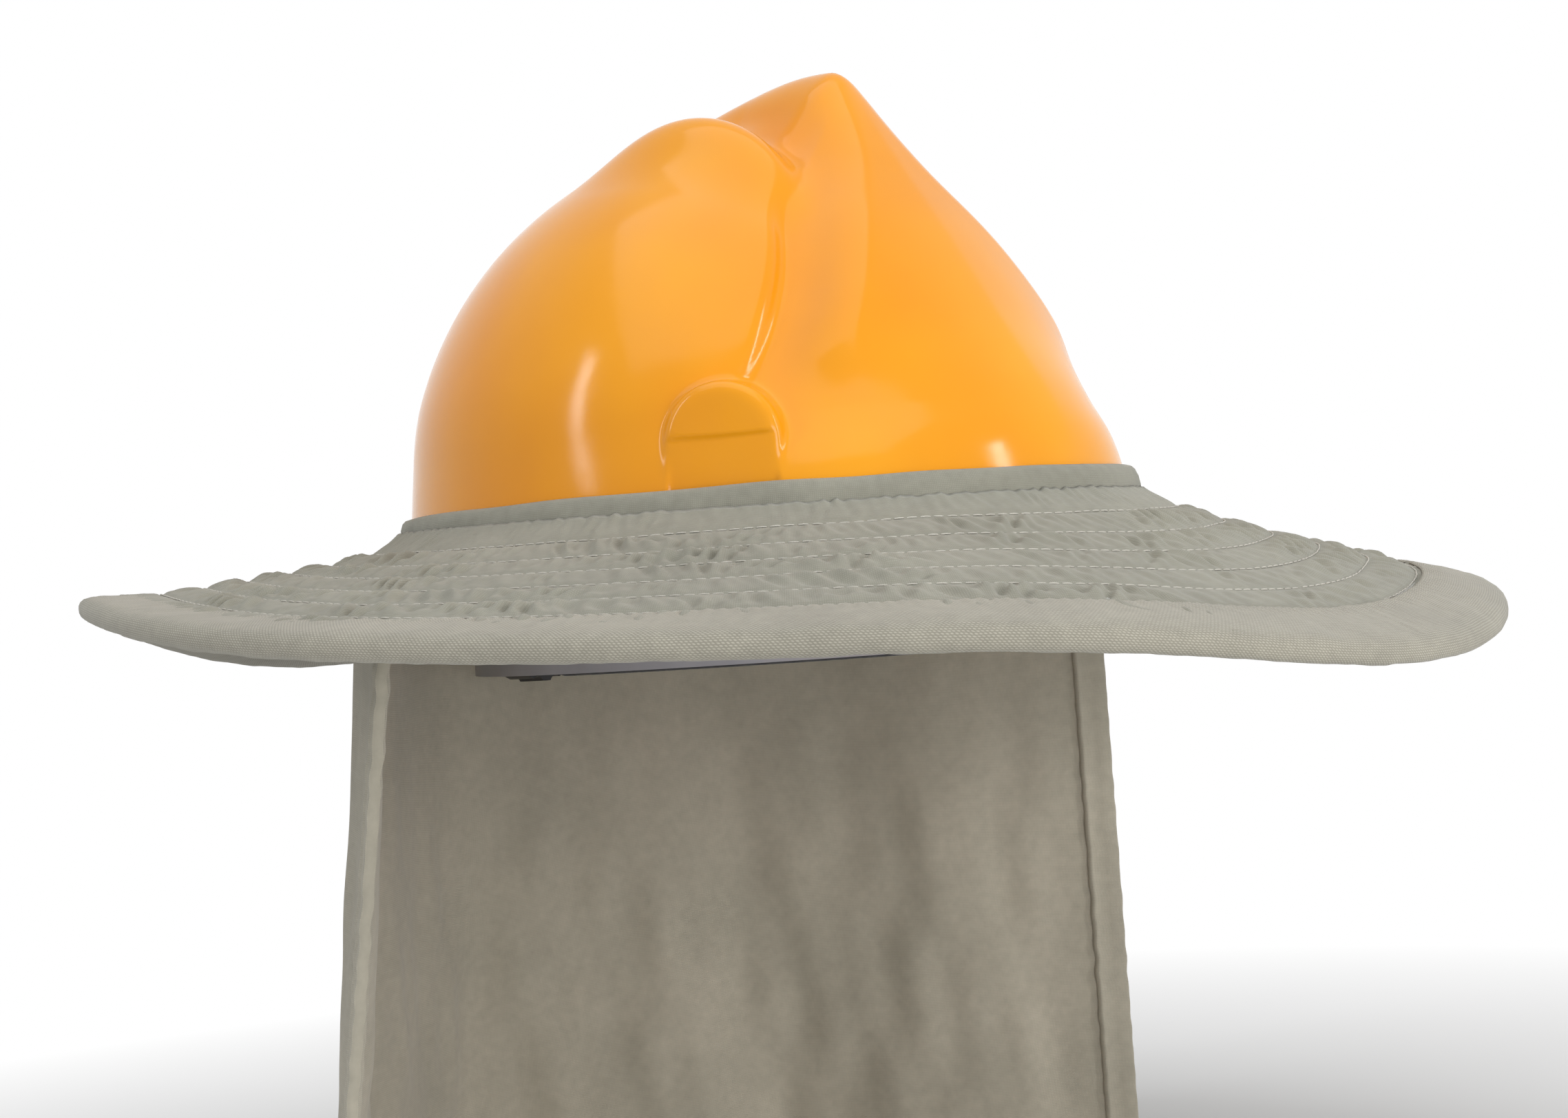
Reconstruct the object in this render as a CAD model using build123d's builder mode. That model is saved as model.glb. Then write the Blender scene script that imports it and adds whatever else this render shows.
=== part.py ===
from build123d import *
import math
import os

# A hard hat with a full-brim fabric sun shade fitted over it.
# Millimetres, +Z up. The front is -Y and the wearer's right is -X.
# The origin is the centre of the headband opening, level with the headband's lower edge.
# A turn is an angle in degrees from the front towards the wearer's right.

# Levels and the plan of the shell
RIM_LEVEL = 28.0
GIRTH_LEVEL = 52.0
SHELL_HALF_WIDTH = 106.0
SHELL_BACK = 124.0
SHELL_FRONT = 124.0

# Shell: a dome, a base flare, a crest with a raked front, two ribs
SHELL_WALL = 2.4
DOME_FRONT = 114.0
DOME_RISE = 118.0
DOME_SINK = 1.6
DOME_TAIL_SINK = 0.6
FLARE_RISE = 20.0
FLARE_SINK = 1.2
CREST_HALF_WIDTH = 100.0
CREST_SWELL = 150.0
CREST_PEAK_FORWARD = 36.0
CREST_PEAK_LEVEL = 185.0
CREST_TAIL_BACK = 95.0
CREST_TAIL_LEVEL = 122.0
CREST_CROWN_BACK = 25.0
CREST_CROWN_LEVEL = 174.5
CREST_FOOT_LEVEL = 62.0
CREST_ROOT = 5.0
CREST_SIDE_REACH = 73.5
CREST_SIDE_LEAN = 31.0
CREST_SIDE_TOE = 8.7
CREST_ROUND = 9.0
RAKE_SINK = 1.0
RIB_SIDE = 37.0
RIB_FORWARD = 6.0
RIB_LEVEL = 132.0
RIB_HALF_WIDTH = 24.0
RIB_HALF_LENGTH = 58.0
RIB_HEIGHT = 38.5
RIM_LIP = 3.6
RIM_LIP_HEIGHT = 2.4

# Visor under the front of the sun shade
VISOR_REACH = 42.0
VISOR_ROOT_LEVEL = 33.0
VISOR_DROP = 16.5
VISOR_HALF_WIDTH = 101.0
VISOR_HALF_LENGTH = 104.0

# Bosses in the shell, and the suspension keys in their pockets
FRONT_KEY_TURN = 60.0
REAR_KEY_TURN = 125.0
KEY_WIDTH = 22.0
KEY_THICKNESS = 2.6
KEY_TOP = 58.0
KEY_DEPTH = 3.0
KEY_ARM_LEVEL = 21.0
KEY_ARM_HEIGHT = 5.5
KEY_FOOT_THICKNESS = 2.2
KEY_FOOT_LOW = 7.0
KEY_FOOT_HIGH = 29.0
KEY_ROUND = 2.0
PEG_RADIUS = 2.5
PEG_LEVEL = 13.0
POCKET_WALL = 2.8
BOSS_WIDTH = 36.0
BOSS_INSET = 1.6
BOSS_ROUND = 2.0
FRONT_BOSS_TOP = 82.0
REAR_BOSS_TOP = 66.0
REAR_BOSS_CORNER = 9.0

# Clearances
FIT = 0.3
RUNNING_FIT = 0.06
OVERRUN = 5.0

# Headband and sweatband. The nape part is an arc about a centre behind the origin.
NAPE_BACK = 20.0
BAND_RADIUS = 83.4
BAND_FRONT = 123.4
BAND_WALL = 1.8
BAND_HEIGHT = 30.0
BAND_END_ANGLE = 40.0
SWEAT_THICKNESS = 4.0
SWEAT_OVERHANG = 1.0
SWEAT_ROUND = 1.4

# Crown straps
STRAP_WIDTH = 18.0
STRAP_THICKNESS = 1.4
STRAP_END_LEVEL = 15.0
STRAP_SPRING_LEVEL = 34.0
STRAP_CROWN_LEVEL = 128.0
STRAP_STEP = 2.4
STRAP_WINDOW = 5.8
STRAP_WINDOW_WIDTH = 20.4
WINDOW_WALL = 0.3

# Nape adjuster: two rack straps, a pinion between them, a housing and a knob
AXLE_LEVEL = 14.0
TOOTH_MODULE = 1.0
TOOTH_COUNT = 10
TOOTH_ADDENDUM_SHARE = 0.8
TOOTH_DEDENDUM_SHARE = 1.1
PRESSURE_ANGLE = 30.0
BACKLASH = 0.1
RACK_THICKNESS = 1.5
RACK_HEIGHT = 21.0
RACK_SLOT_ANGLE = 23.0
RACK_OUTER_ANGLE = 66.0
RACK_TIP_ANGLE = 28.0
RACK_CORNER = 3.0
TIP_CLEARANCE = 0.4
HOUSING_ANGLE = 22.0
HOUSING_WALL = 2.2
HOUSING_RAIL = 2.0
PLATFORM_RADIUS = 15.0
PLATFORM_RISE = 0.5
TURRET_RADIUS = 6.5
TURRET_RISE = 1.6
JOURNAL_RADIUS = 2.0
JOURNAL_LENGTH = 1.6
SHAFT_RADIUS = 4.0
DRIVE_RADIUS = 3.4
DRIVE_LENGTH = 6.5
KNOB_RADIUS = 19.0
KNOB_THICKNESS = 13.0
KNOB_SCALLOPS = 14
KNOB_SCALLOP_RADIUS = 3.0
KNOB_SCALLOP_DEPTH = 1.3
KNOB_CHAMFER = 1.5
NOTCH_COUNT = 24
NOTCH_RADIUS = 1.1
NOTCH_RING = 14.3
CAVITY_DEPTH = 3.6
SPRING_THICKNESS = 1.6
SPRING_STRIP = 1.2
SPRING_ARM_RADIUS = 12.0
SPRING_ARM_ANGLE = 70.0
SCREW_RADIUS = 1.5
SCREW_HEAD_RADIUS = 3.0
SCREW_HEAD_HEIGHT = 2.2
SCREW_LENGTH = 8.0
SCREW_SINK = 4.4
DRIVER_SLOT = 0.9
NAPE_PAD_THICKNESS = 3.6
NAPE_PAD_ANGLE = 30.0
NAPE_PAD_ROUND = 1.2

# Sun shade collar
COLLAR_HEIGHT = 10.0
COLLAR_CLOTH = 1.0
ELASTIC_THICKNESS = 0.8
ELASTIC_HEIGHT = 6.5

# Sun shade brim: two cloths with a stiffener between them
BRIM_HALF_WIDTH = 222.0
BRIM_HALF_LENGTH = 227.0
BRIM_FORWARD = 8.0
BRIM_CLOTH = 0.8
STIFFENER_THICKNESS = 2.4
BRIM_WAVE = 40.0
BRIM_SAG = 4.0
SECTION_TURN = 22.5
EDGE_LEVEL_SHARES = (-0.15, 0.075, 0.24, 0.325, 0.475, 0.7, 0.825, 0.475, 0.25)
SAG_SHARES = (0.05, 0.05, 0.15, 0.45, 0.8, 1, 1, 1, 1)
BINDING_WIDTH = 22.0
BINDING_CLOTH = 1.2
BINDING_PUFF = 1.2
ROLL_SHARE = 0.75
BINDING_ROOM = 0.5

# Neck curtain under the brim
CURTAIN_INSET = 41.0
CURTAIN_BACK_GAP = 19.0
CURTAIN_FRONT_OVERLAP = 17.0
CURTAIN_CLOTH = 1.2
CURTAIN_LEVEL = -195.0
CURTAIN_SPREAD = 11.0
FOLD_DEPTH = 6.0
FOLD_COUNT = 4
CURTAIN_SIDE_SHARES = (1.0, 0.78, 0.56, 0.335)
CURTAIN_BACK_SHARES = (0.0, 0.287, 0.62, 0.823)
CURTAIN_POINTS = 19
HEM_POINTS = 3
HEM_WIDTH = 15.0
HEM_CLOTH = 0.8
TAPE_WIDTH = 9.0
TAPE_THICKNESS = 0.8

os.makedirs("parts", exist_ok=True)


def finish(builder, name):
    """Labels a finished piece and writes it out."""
    builder.part.label = name
    export_step(builder.part, f"parts/{name}.step")


def on_ellipse(half_width, half_length, turn, level=0.0):
    """A point of a level ellipse at a turn from the front towards the wearer's right."""
    angle = math.radians(turn)
    return Vector(-half_width * math.sin(angle), -half_length * math.cos(angle), level)


def ellipsoid(half_width, half_length, height, place):
    """An ellipsoid with its centre at a place."""
    return Pos(*place) * scale(Sphere(1), by=(half_width, half_length, height))


# Shell

DOME_BACK_SHIFT = (SHELL_BACK - DOME_TAIL_SINK - DOME_FRONT) / 2
DOME_HALF_LENGTH = (SHELL_BACK - DOME_TAIL_SINK + DOME_FRONT) / 2


def rake_plane(inset):
    """The raked plane of the shell's front, facing forwards."""
    run = SHELL_FRONT - CREST_PEAK_FORWARD
    rise = CREST_PEAK_LEVEL - CREST_FOOT_LEVEL
    normal = Vector(0, -rise, run).normalized()
    foot = Vector(0, -SHELL_FRONT, CREST_FOOT_LEVEL)
    return Plane(origin=foot - normal * inset, z_dir=normal)


def crest_form(inset):
    """The crest: a side profile drawn across the shell, leaned in on both sides."""
    swell = ellipsoid(
        CREST_HALF_WIDTH - inset,
        SHELL_FRONT - inset,
        CREST_SWELL - inset,
        (0, 0, GIRTH_LEVEL),
    )
    side_normal = Vector(1, 0, 0).rotate(Axis.Y, -CREST_SIDE_LEAN).rotate(Axis.Z, CREST_SIDE_TOE)
    side_point = Vector(0, 0, GIRTH_LEVEL) + side_normal * (CREST_SIDE_REACH - inset)
    low = GIRTH_LEVEL - CREST_ROOT
    with BuildPart() as crest:
        with BuildSketch(Plane.YZ):
            with BuildLine():
                front = (-SHELL_FRONT, CREST_FOOT_LEVEL)
                peak = (-CREST_PEAK_FORWARD, CREST_PEAK_LEVEL)
                tail = (CREST_TAIL_BACK, CREST_TAIL_LEVEL)
                Line(front, peak)
                ThreePointArc(peak, (CREST_CROWN_BACK, CREST_CROWN_LEVEL), tail)
                Polyline(tail, (CREST_TAIL_BACK, low), (-SHELL_FRONT, low), front)
            make_face()
            if inset:
                offset(amount=-inset, kind=Kind.INTERSECTION)
        extrude(amount=CREST_HALF_WIDTH - inset, both=True)
        split(bisect_by=Plane(origin=side_point, z_dir=side_normal), keep=Keep.BOTTOM)
        mirrored = Plane(
            origin=(-side_point.X, side_point.Y, side_point.Z),
            z_dir=(-side_normal.X, side_normal.Y, side_normal.Z),
        )
        split(bisect_by=mirrored, keep=Keep.BOTTOM)
        peak_edges = crest.edges().filter_by(Axis.X).sort_by(Axis.Z)[-1:]
        shoulders = [
            edge
            for edge in crest.edges()
            if edge.center().Z > GIRTH_LEVEL
            and abs((edge @ 0).X - (edge @ 1).X) > inset / 2 + FIT
            and abs((edge @ 0).Y - (edge @ 1).Y) > CREST_ROOT
            and edge.center().Y < CREST_TAIL_BACK - CREST_ROOT
        ]
        fillet(ShapeList(peak_edges + shoulders), CREST_ROUND - inset)
        add(swell, mode=Mode.INTERSECT)
    return crest.part


def shell_form(inset, low):
    """The shell's outer form as a solid, drawn in all round by an inset."""
    half_width = SHELL_HALF_WIDTH - inset
    share = math.sqrt(1 - (FLARE_RISE / DOME_RISE) ** 2)
    dome = ellipsoid(
        half_width - DOME_SINK,
        DOME_HALF_LENGTH - inset,
        DOME_RISE - inset,
        (0, DOME_BACK_SHIFT, GIRTH_LEVEL),
    )
    ribs = [
        ellipsoid(
            RIB_HALF_WIDTH - inset,
            RIB_HALF_LENGTH - inset,
            RIB_HEIGHT - inset,
            (side * RIB_SIDE, -RIB_FORWARD, RIB_LEVEL),
        )
        for side in (-1, 1)
    ]
    crest = crest_form(inset)
    with BuildPart() as form:
        add(dome)
        split(bisect_by=Plane.XY.offset(GIRTH_LEVEL), keep=Keep.TOP)
        split(bisect_by=rake_plane(inset + RAKE_SINK), keep=Keep.BOTTOM)
        with BuildSketch(Plane.XY.offset(low)):
            Ellipse(half_width, SHELL_BACK - inset)
        extrude(amount=GIRTH_LEVEL - low)
        with BuildSketch(Plane.XY.offset(GIRTH_LEVEL)):
            Ellipse(half_width, SHELL_BACK - inset)
        with BuildSketch(Plane.XY.offset(GIRTH_LEVEL + FLARE_RISE)):
            with Locations((0, DOME_BACK_SHIFT)):
                Ellipse(
                    (half_width - DOME_SINK) * share - FLARE_SINK,
                    (DOME_HALF_LENGTH - inset) * share - FLARE_SINK,
                )
        loft()
        add(crest)
        for rib in ribs:
            add(rib)
    return form.part


def key_planes(turn):
    """Planes at a key: facing outwards, and across it with x inwards. Both have y upwards."""
    foot = on_ellipse(SHELL_HALF_WIDTH, SHELL_BACK, turn)
    out = Vector(foot.X / SHELL_HALF_WIDTH**2, foot.Y / SHELL_BACK**2, 0).normalized()
    along = Vector(0, 0, 1).cross(out)
    facing = Plane(origin=foot, x_dir=along, z_dir=out)
    across = Plane(origin=foot, x_dir=out * -1, z_dir=along)
    return facing, across


KEY_TURNS = {
    "front_right": FRONT_KEY_TURN,
    "front_left": -FRONT_KEY_TURN,
    "rear_right": REAR_KEY_TURN,
    "rear_left": -REAR_KEY_TURN,
}
POCKET_DEPTH = KEY_DEPTH + KEY_THICKNESS + FIT
BOSS_DEPTH = POCKET_DEPTH + POCKET_WALL


def boss(turn):
    """The boss behind a key's pocket: arched in front, low and rounded at the back."""
    facing = key_planes(turn)[0]
    arched = abs(turn) < 90
    top = FRONT_BOSS_TOP if arched else REAR_BOSS_TOP
    corner = BOSS_WIDTH / 2 - FIT if arched else REAR_BOSS_CORNER
    height = top - RIM_LEVEL
    with BuildPart() as block:
        with BuildSketch(facing.offset(-BOSS_INSET)) as outline:
            with Locations((0, RIM_LEVEL + height / 2)):
                Rectangle(BOSS_WIDTH, height)
            fillet(outline.vertices().group_by(Axis.Y)[-1], corner)
        extrude(amount=BOSS_INSET - BOSS_DEPTH)
        face = block.faces().sort_by(Axis(facing.origin, facing.z_dir))[-1]
        fillet(face.edges().sort_by(Axis.Z)[1:], BOSS_ROUND)
    return block.part


outer_form = shell_form(0, RIM_LEVEL)
inner_form = shell_form(SHELL_WALL, RIM_LEVEL - OVERRUN)
bosses = [boss(turn) for turn in KEY_TURNS.values()]

with BuildPart() as visor:
    for drop in (0, SHELL_WALL):
        with BuildSketch(Plane.XY.offset(VISOR_ROOT_LEVEL - drop)):
            Ellipse(SHELL_HALF_WIDTH, SHELL_BACK)
        with BuildSketch(Plane.XY.offset(VISOR_ROOT_LEVEL - VISOR_DROP - drop)):
            Ellipse(SHELL_HALF_WIDTH + VISOR_REACH, SHELL_BACK + VISOR_REACH)
        loft(mode=Mode.SUBTRACT if drop else Mode.ADD)
    with BuildSketch(Plane.XY):
        with Locations((0, VISOR_HALF_LENGTH - SHELL_FRONT - VISOR_REACH)):
            Ellipse(VISOR_HALF_WIDTH, VISOR_HALF_LENGTH)
        Ellipse(
            SHELL_HALF_WIDTH - SHELL_WALL / 2,
            SHELL_BACK - SHELL_WALL / 2,
            mode=Mode.SUBTRACT,
        )
    extrude(amount=GIRTH_LEVEL, mode=Mode.INTERSECT)

with BuildPart() as shell:
    add(outer_form)
    add(inner_form, mode=Mode.SUBTRACT)
    with BuildSketch(Plane.XY.offset(RIM_LEVEL)):
        Ellipse(SHELL_HALF_WIDTH + RIM_LIP, SHELL_BACK + RIM_LIP)
        Ellipse(SHELL_HALF_WIDTH - FIT, SHELL_BACK - FIT, mode=Mode.SUBTRACT)
    extrude(amount=RIM_LIP_HEIGHT)
    add(visor.part)
    for block in bosses:
        add(block)
    for turn in KEY_TURNS.values():
        facing = key_planes(turn)[0]
        with BuildSketch(facing.offset(FIT - KEY_DEPTH)):
            with Locations((0, KEY_TOP / 2)):
                Rectangle(KEY_WIDTH + 2 * FIT, KEY_TOP + 2 * FIT)
        extrude(amount=-KEY_THICKNESS - 2 * FIT, mode=Mode.SUBTRACT)
finish(shell, "shell")

# Headband and sweatband


def band_plan(inset):
    """The plan of the headband, drawn in by an inset: half an ellipse in front, half a circle behind."""
    with BuildSketch() as plan:
        with BuildLine():
            EllipticalCenterArc(
                (0, NAPE_BACK),
                BAND_RADIUS - inset,
                BAND_FRONT - inset,
                start_angle=180,
                arc_size=180,
            )
            CenterArc((0, NAPE_BACK), BAND_RADIUS - inset, 0, 180)
        make_face()
    return plan.sketch


def nape_sector(inner, outer, first, last):
    """A ring sector about the nape centre. Angles run from the back towards the wearer's left."""
    with BuildSketch() as sector:
        with Locations((0, NAPE_BACK)):
            Circle(outer)
            Circle(inner, mode=Mode.SUBTRACT)
        reach = 3 * outer
        steps = [first + (last - first) * share for share in (0, 0.5, 1)]
        rays = [
            (reach * math.sin(math.radians(a)), NAPE_BACK + reach * math.cos(math.radians(a)))
            for a in steps
        ]
        with BuildLine():
            Polyline((0, NAPE_BACK), *rays, (0, NAPE_BACK))
        make_face(mode=Mode.INTERSECT)
    return sector.sketch


def nape_plane(angle, radius):
    """A plane facing outwards on the nape arc, with y upwards, at axle level."""
    turn = math.radians(angle)
    out = Vector(math.sin(turn), math.cos(turn), 0)
    foot = Vector(0, NAPE_BACK, AXLE_LEVEL) + out * radius
    return Plane(origin=foot, x_dir=Vector(0, 0, 1).cross(out), z_dir=out)


def band_depth(turn):
    """How far inside the shell's girth the headband's outer face lies, along a key."""
    out = key_planes(turn)[0].z_dir
    foot = key_planes(turn)[0].origin - Vector(0, NAPE_BACK, 0)
    length = BAND_FRONT if foot.Y < 0 and abs(turn) < 90 else BAND_RADIUS
    a = (out.X / BAND_RADIUS) ** 2 + (out.Y / length) ** 2
    b = foot.X * out.X / BAND_RADIUS**2 + foot.Y * out.Y / length**2
    c = (foot.X / BAND_RADIUS) ** 2 + (foot.Y / length) ** 2 - 1
    return (b - math.sqrt(b * b - a * c)) / a


band_outer = band_plan(0)
band_inner = band_plan(BAND_WALL)
rear_gap = nape_sector(NAPE_BACK, 2 * BAND_RADIUS, -BAND_END_ANGLE, BAND_END_ANGLE)

with BuildPart() as headband:
    with BuildSketch():
        add(band_outer)
        add(band_inner, mode=Mode.SUBTRACT)
        add(rear_gap, mode=Mode.SUBTRACT)
    extrude(amount=BAND_HEIGHT)
    for turn in KEY_TURNS.values():
        depth = band_depth(turn)
        with BuildSketch(key_planes(turn)[0].offset(OVERRUN - depth)):
            with Locations((0, PEG_LEVEL)):
                Circle(PEG_RADIUS + RUNNING_FIT)
        extrude(amount=-BAND_WALL - 2 * OVERRUN, mode=Mode.SUBTRACT)
finish(headband, "headband")

sweat_outer = band_plan(BAND_WALL + FIT)
sweat_inner = band_plan(BAND_WALL + FIT + SWEAT_THICKNESS)

with BuildPart() as sweatband:
    with BuildSketch(Plane.XY.offset(-SWEAT_OVERHANG)):
        add(sweat_outer)
        add(sweat_inner, mode=Mode.SUBTRACT)
        with Locations((0, NAPE_BACK)):
            Rectangle(
                3 * BAND_RADIUS,
                2 * BAND_FRONT,
                align=(Align.CENTER, Align.MIN),
                mode=Mode.SUBTRACT,
            )
    extrude(amount=BAND_HEIGHT + 2 * SWEAT_OVERHANG)
    fillet(sweatband.edges().group_by(Axis.Z)[0], SWEAT_ROUND)
    fillet(sweatband.edges().group_by(Axis.Z)[-1], SWEAT_ROUND)
finish(sweatband, "sweatband")


# Suspension keys and crown straps


def window_middle(turn):
    """The depth of the middle of a key's strap window."""
    return band_depth(turn) - FIT - KEY_FOOT_THICKNESS - WINDOW_WALL - STRAP_WINDOW / 2


for name, turn in KEY_TURNS.items():
    across = key_planes(turn)[1]
    depth = band_depth(turn)
    foot_face = depth - FIT
    with BuildPart() as key:
        with BuildSketch(across) as profile:
            with BuildLine():
                Polyline(
                    (KEY_DEPTH, KEY_ARM_LEVEL),
                    (KEY_DEPTH, KEY_TOP),
                    (KEY_DEPTH + KEY_THICKNESS, KEY_TOP),
                    (KEY_DEPTH + KEY_THICKNESS, KEY_ARM_LEVEL + KEY_ARM_HEIGHT),
                    (foot_face - KEY_FOOT_THICKNESS, KEY_ARM_LEVEL + KEY_ARM_HEIGHT),
                    (foot_face - KEY_FOOT_THICKNESS, KEY_FOOT_HIGH),
                    (foot_face, KEY_FOOT_HIGH),
                    (foot_face, KEY_FOOT_LOW),
                    (foot_face - KEY_FOOT_THICKNESS, KEY_FOOT_LOW),
                    (foot_face - KEY_FOOT_THICKNESS, KEY_ARM_LEVEL),
                    close=True,
                )
            make_face()
        extrude(amount=KEY_WIDTH / 2, both=True)
        facing = key_planes(turn)[0]
        top = key.edges().filter_by(lambda edge: edge.length < KEY_THICKNESS * 1.01)
        fillet(top.sort_by(Axis.Z)[-2:], KEY_ROUND)
        with BuildSketch(Plane(facing.origin, x_dir=facing.x_dir, z_dir=(0, 0, 1))):
            with Locations((0, window_middle(turn))):
                Rectangle(STRAP_WINDOW_WIDTH, STRAP_WINDOW)
        extrude(amount=KEY_TOP, mode=Mode.SUBTRACT)
        with BuildSketch(facing.offset(-foot_face)):
            with Locations((0, PEG_LEVEL)):
                Circle(PEG_RADIUS)
        extrude(amount=-BAND_WALL - FIT / 2)
    finish(key, f"hanger_key_{name}")


def window_point(turn):
    """The middle of a key's strap window in plan."""
    facing = key_planes(turn)[0]
    return facing.origin - facing.z_dir * window_middle(turn)


STRAP_ENDS = {
    "crown_strap_lower": (FRONT_KEY_TURN, -REAR_KEY_TURN, 0.0),
    "crown_strap_upper": (-FRONT_KEY_TURN, REAR_KEY_TURN, STRAP_STEP),
}

for name, (front_turn, rear_turn, step) in STRAP_ENDS.items():
    front_end = window_point(front_turn)
    rear_end = window_point(rear_turn)
    run = rear_end - front_end
    half_span = run.length / 2
    middle = (front_end + rear_end) * 0.5
    side = Plane(
        origin=(middle.X, middle.Y, STRAP_SPRING_LEVEL),
        x_dir=run.normalized(),
        z_dir=run.normalized().cross(Vector(0, 0, 1)),
    )
    rise = STRAP_CROWN_LEVEL - STRAP_SPRING_LEVEL + step
    drop = STRAP_SPRING_LEVEL - STRAP_END_LEVEL
    with BuildPart() as strap:
        with BuildSketch(side):
            Ellipse(half_span + STRAP_THICKNESS / 2, rise + STRAP_THICKNESS / 2)
            Ellipse(
                half_span - STRAP_THICKNESS / 2,
                rise - STRAP_THICKNESS / 2,
                mode=Mode.SUBTRACT,
            )
            Rectangle(
                3 * half_span, 2 * rise, align=(Align.CENTER, Align.MAX), mode=Mode.SUBTRACT
            )
            with Locations((-half_span, 0), (half_span, 0)):
                Rectangle(STRAP_THICKNESS, drop, align=(Align.CENTER, Align.MAX))
        extrude(amount=STRAP_WIDTH / 2, both=True)
    finish(strap, name)


# Nape adjuster

PITCH_RADIUS = TOOTH_MODULE * TOOTH_COUNT / 2
ADDENDUM = TOOTH_ADDENDUM_SHARE * TOOTH_MODULE
DEDENDUM = TOOTH_DEDENDUM_SHARE * TOOTH_MODULE
TOOTH_PITCH = math.pi * TOOTH_MODULE
OUTER_RACK_OUTSIDE = BAND_RADIUS - BAND_WALL - FIT
OUTER_RACK_INSIDE = OUTER_RACK_OUTSIDE - RACK_THICKNESS
INNER_RACK_OUTSIDE = OUTER_RACK_INSIDE - FIT
INNER_RACK_INSIDE = INNER_RACK_OUTSIDE - RACK_THICKNESS
HOUSING_INSIDE = INNER_RACK_INSIDE - FIT
RAIL_LEVEL = RACK_HEIGHT / 2 + FIT
HOUSING_HEIGHT = 2 * (RAIL_LEVEL + HOUSING_RAIL)


def rack_strap(inner, outer, side, name):
    """A curved strap with a toothed slot. side is 1 where its fixed end is on the wearer's left."""
    pitch_angle = math.degrees(TOOTH_PITCH / ((inner + outer) / 2))
    flank = math.tan(math.radians(PRESSURE_ANGLE))
    first, last = sorted((-RACK_TIP_ANGLE * side, RACK_OUTER_ANGLE * side))
    plan = nape_sector(inner, outer, first, last)
    slot_plan = nape_sector(
        inner - OVERRUN, outer + OVERRUN, -RACK_SLOT_ANGLE, RACK_SLOT_ANGLE
    )
    toothed = side * (PITCH_RADIUS - ADDENDUM)
    plain = -side * (PITCH_RADIUS + ADDENDUM + TIP_CLEARANCE)
    count = int(RACK_SLOT_ANGLE / pitch_angle)
    with BuildPart() as rack:
        with BuildSketch(Plane.XY.offset(AXLE_LEVEL - RACK_HEIGHT / 2)):
            add(plan)
        extrude(amount=RACK_HEIGHT)
        ends = rack.edges().filter_by(
            lambda edge: edge.length < RACK_THICKNESS * 1.01 and abs(edge.tangent_at(0).Z) < 0.5
        )
        fillet(ends, RACK_CORNER)
        with BuildSketch(Plane.XY.offset(AXLE_LEVEL + min(toothed, plain))):
            add(slot_plan)
        extrude(amount=abs(toothed - plain), mode=Mode.SUBTRACT)
        for index in range(-count, count + 1):
            plane = nape_plane(index * pitch_angle, outer + OVERRUN)
            half = TOOTH_PITCH / 4
            tip = half + (ADDENDUM + BACKLASH) * flank
            root = half - DEDENDUM * flank + BACKLASH
            with BuildSketch(plane):
                with BuildLine():
                    Polyline(
                        (-tip, toothed - side * BACKLASH),
                        (tip, toothed - side * BACKLASH),
                        (root, side * (PITCH_RADIUS + DEDENDUM)),
                        (-root, side * (PITCH_RADIUS + DEDENDUM)),
                        close=True,
                    )
                make_face()
            extrude(amount=inner - outer - 2 * OVERRUN, mode=Mode.SUBTRACT)
    finish(rack, name)


rack_strap(INNER_RACK_INSIDE, INNER_RACK_OUTSIDE, 1, "left_rack_strap")
rack_strap(OUTER_RACK_INSIDE, OUTER_RACK_OUTSIDE, -1, "right_rack_strap")


def involute_flank(steps):
    """Radius and half-angle pairs up one flank of a pinion tooth."""
    pressure = math.radians(PRESSURE_ANGLE)
    base = PITCH_RADIUS * math.cos(pressure)
    half = (TOOTH_PITCH / 2 - BACKLASH) / (2 * PITCH_RADIUS) + math.tan(pressure) - pressure
    points = [(PITCH_RADIUS - DEDENDUM, half)]
    for index in range(steps + 1):
        radius = base + (PITCH_RADIUS + ADDENDUM - base) * index / steps
        roll = math.acos(base / radius)
        points.append((radius, half - (math.tan(roll) - roll)))
    return points


FLANK_STEPS = 4
outline_points = []
for tooth in range(TOOTH_COUNT):
    centre = math.pi / 2 + 2 * math.pi * tooth / TOOTH_COUNT
    flank_points = involute_flank(FLANK_STEPS)
    rising = [(radius, centre - half) for radius, half in flank_points]
    falling = [(radius, centre + half) for radius, half in reversed(flank_points)]
    for radius, angle in rising + falling:
        outline_points.append((radius * math.cos(angle), radius * math.sin(angle)))

gear_inside = HOUSING_INSIDE + RUNNING_FIT + FIT / 2
gear_length = OUTER_RACK_OUTSIDE - FIT - gear_inside
platform_face = OUTER_RACK_OUTSIDE + FIT + HOUSING_WALL + PLATFORM_RISE
knob_face = platform_face + FIT
cover_inside = OUTER_RACK_OUTSIDE + FIT

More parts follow.
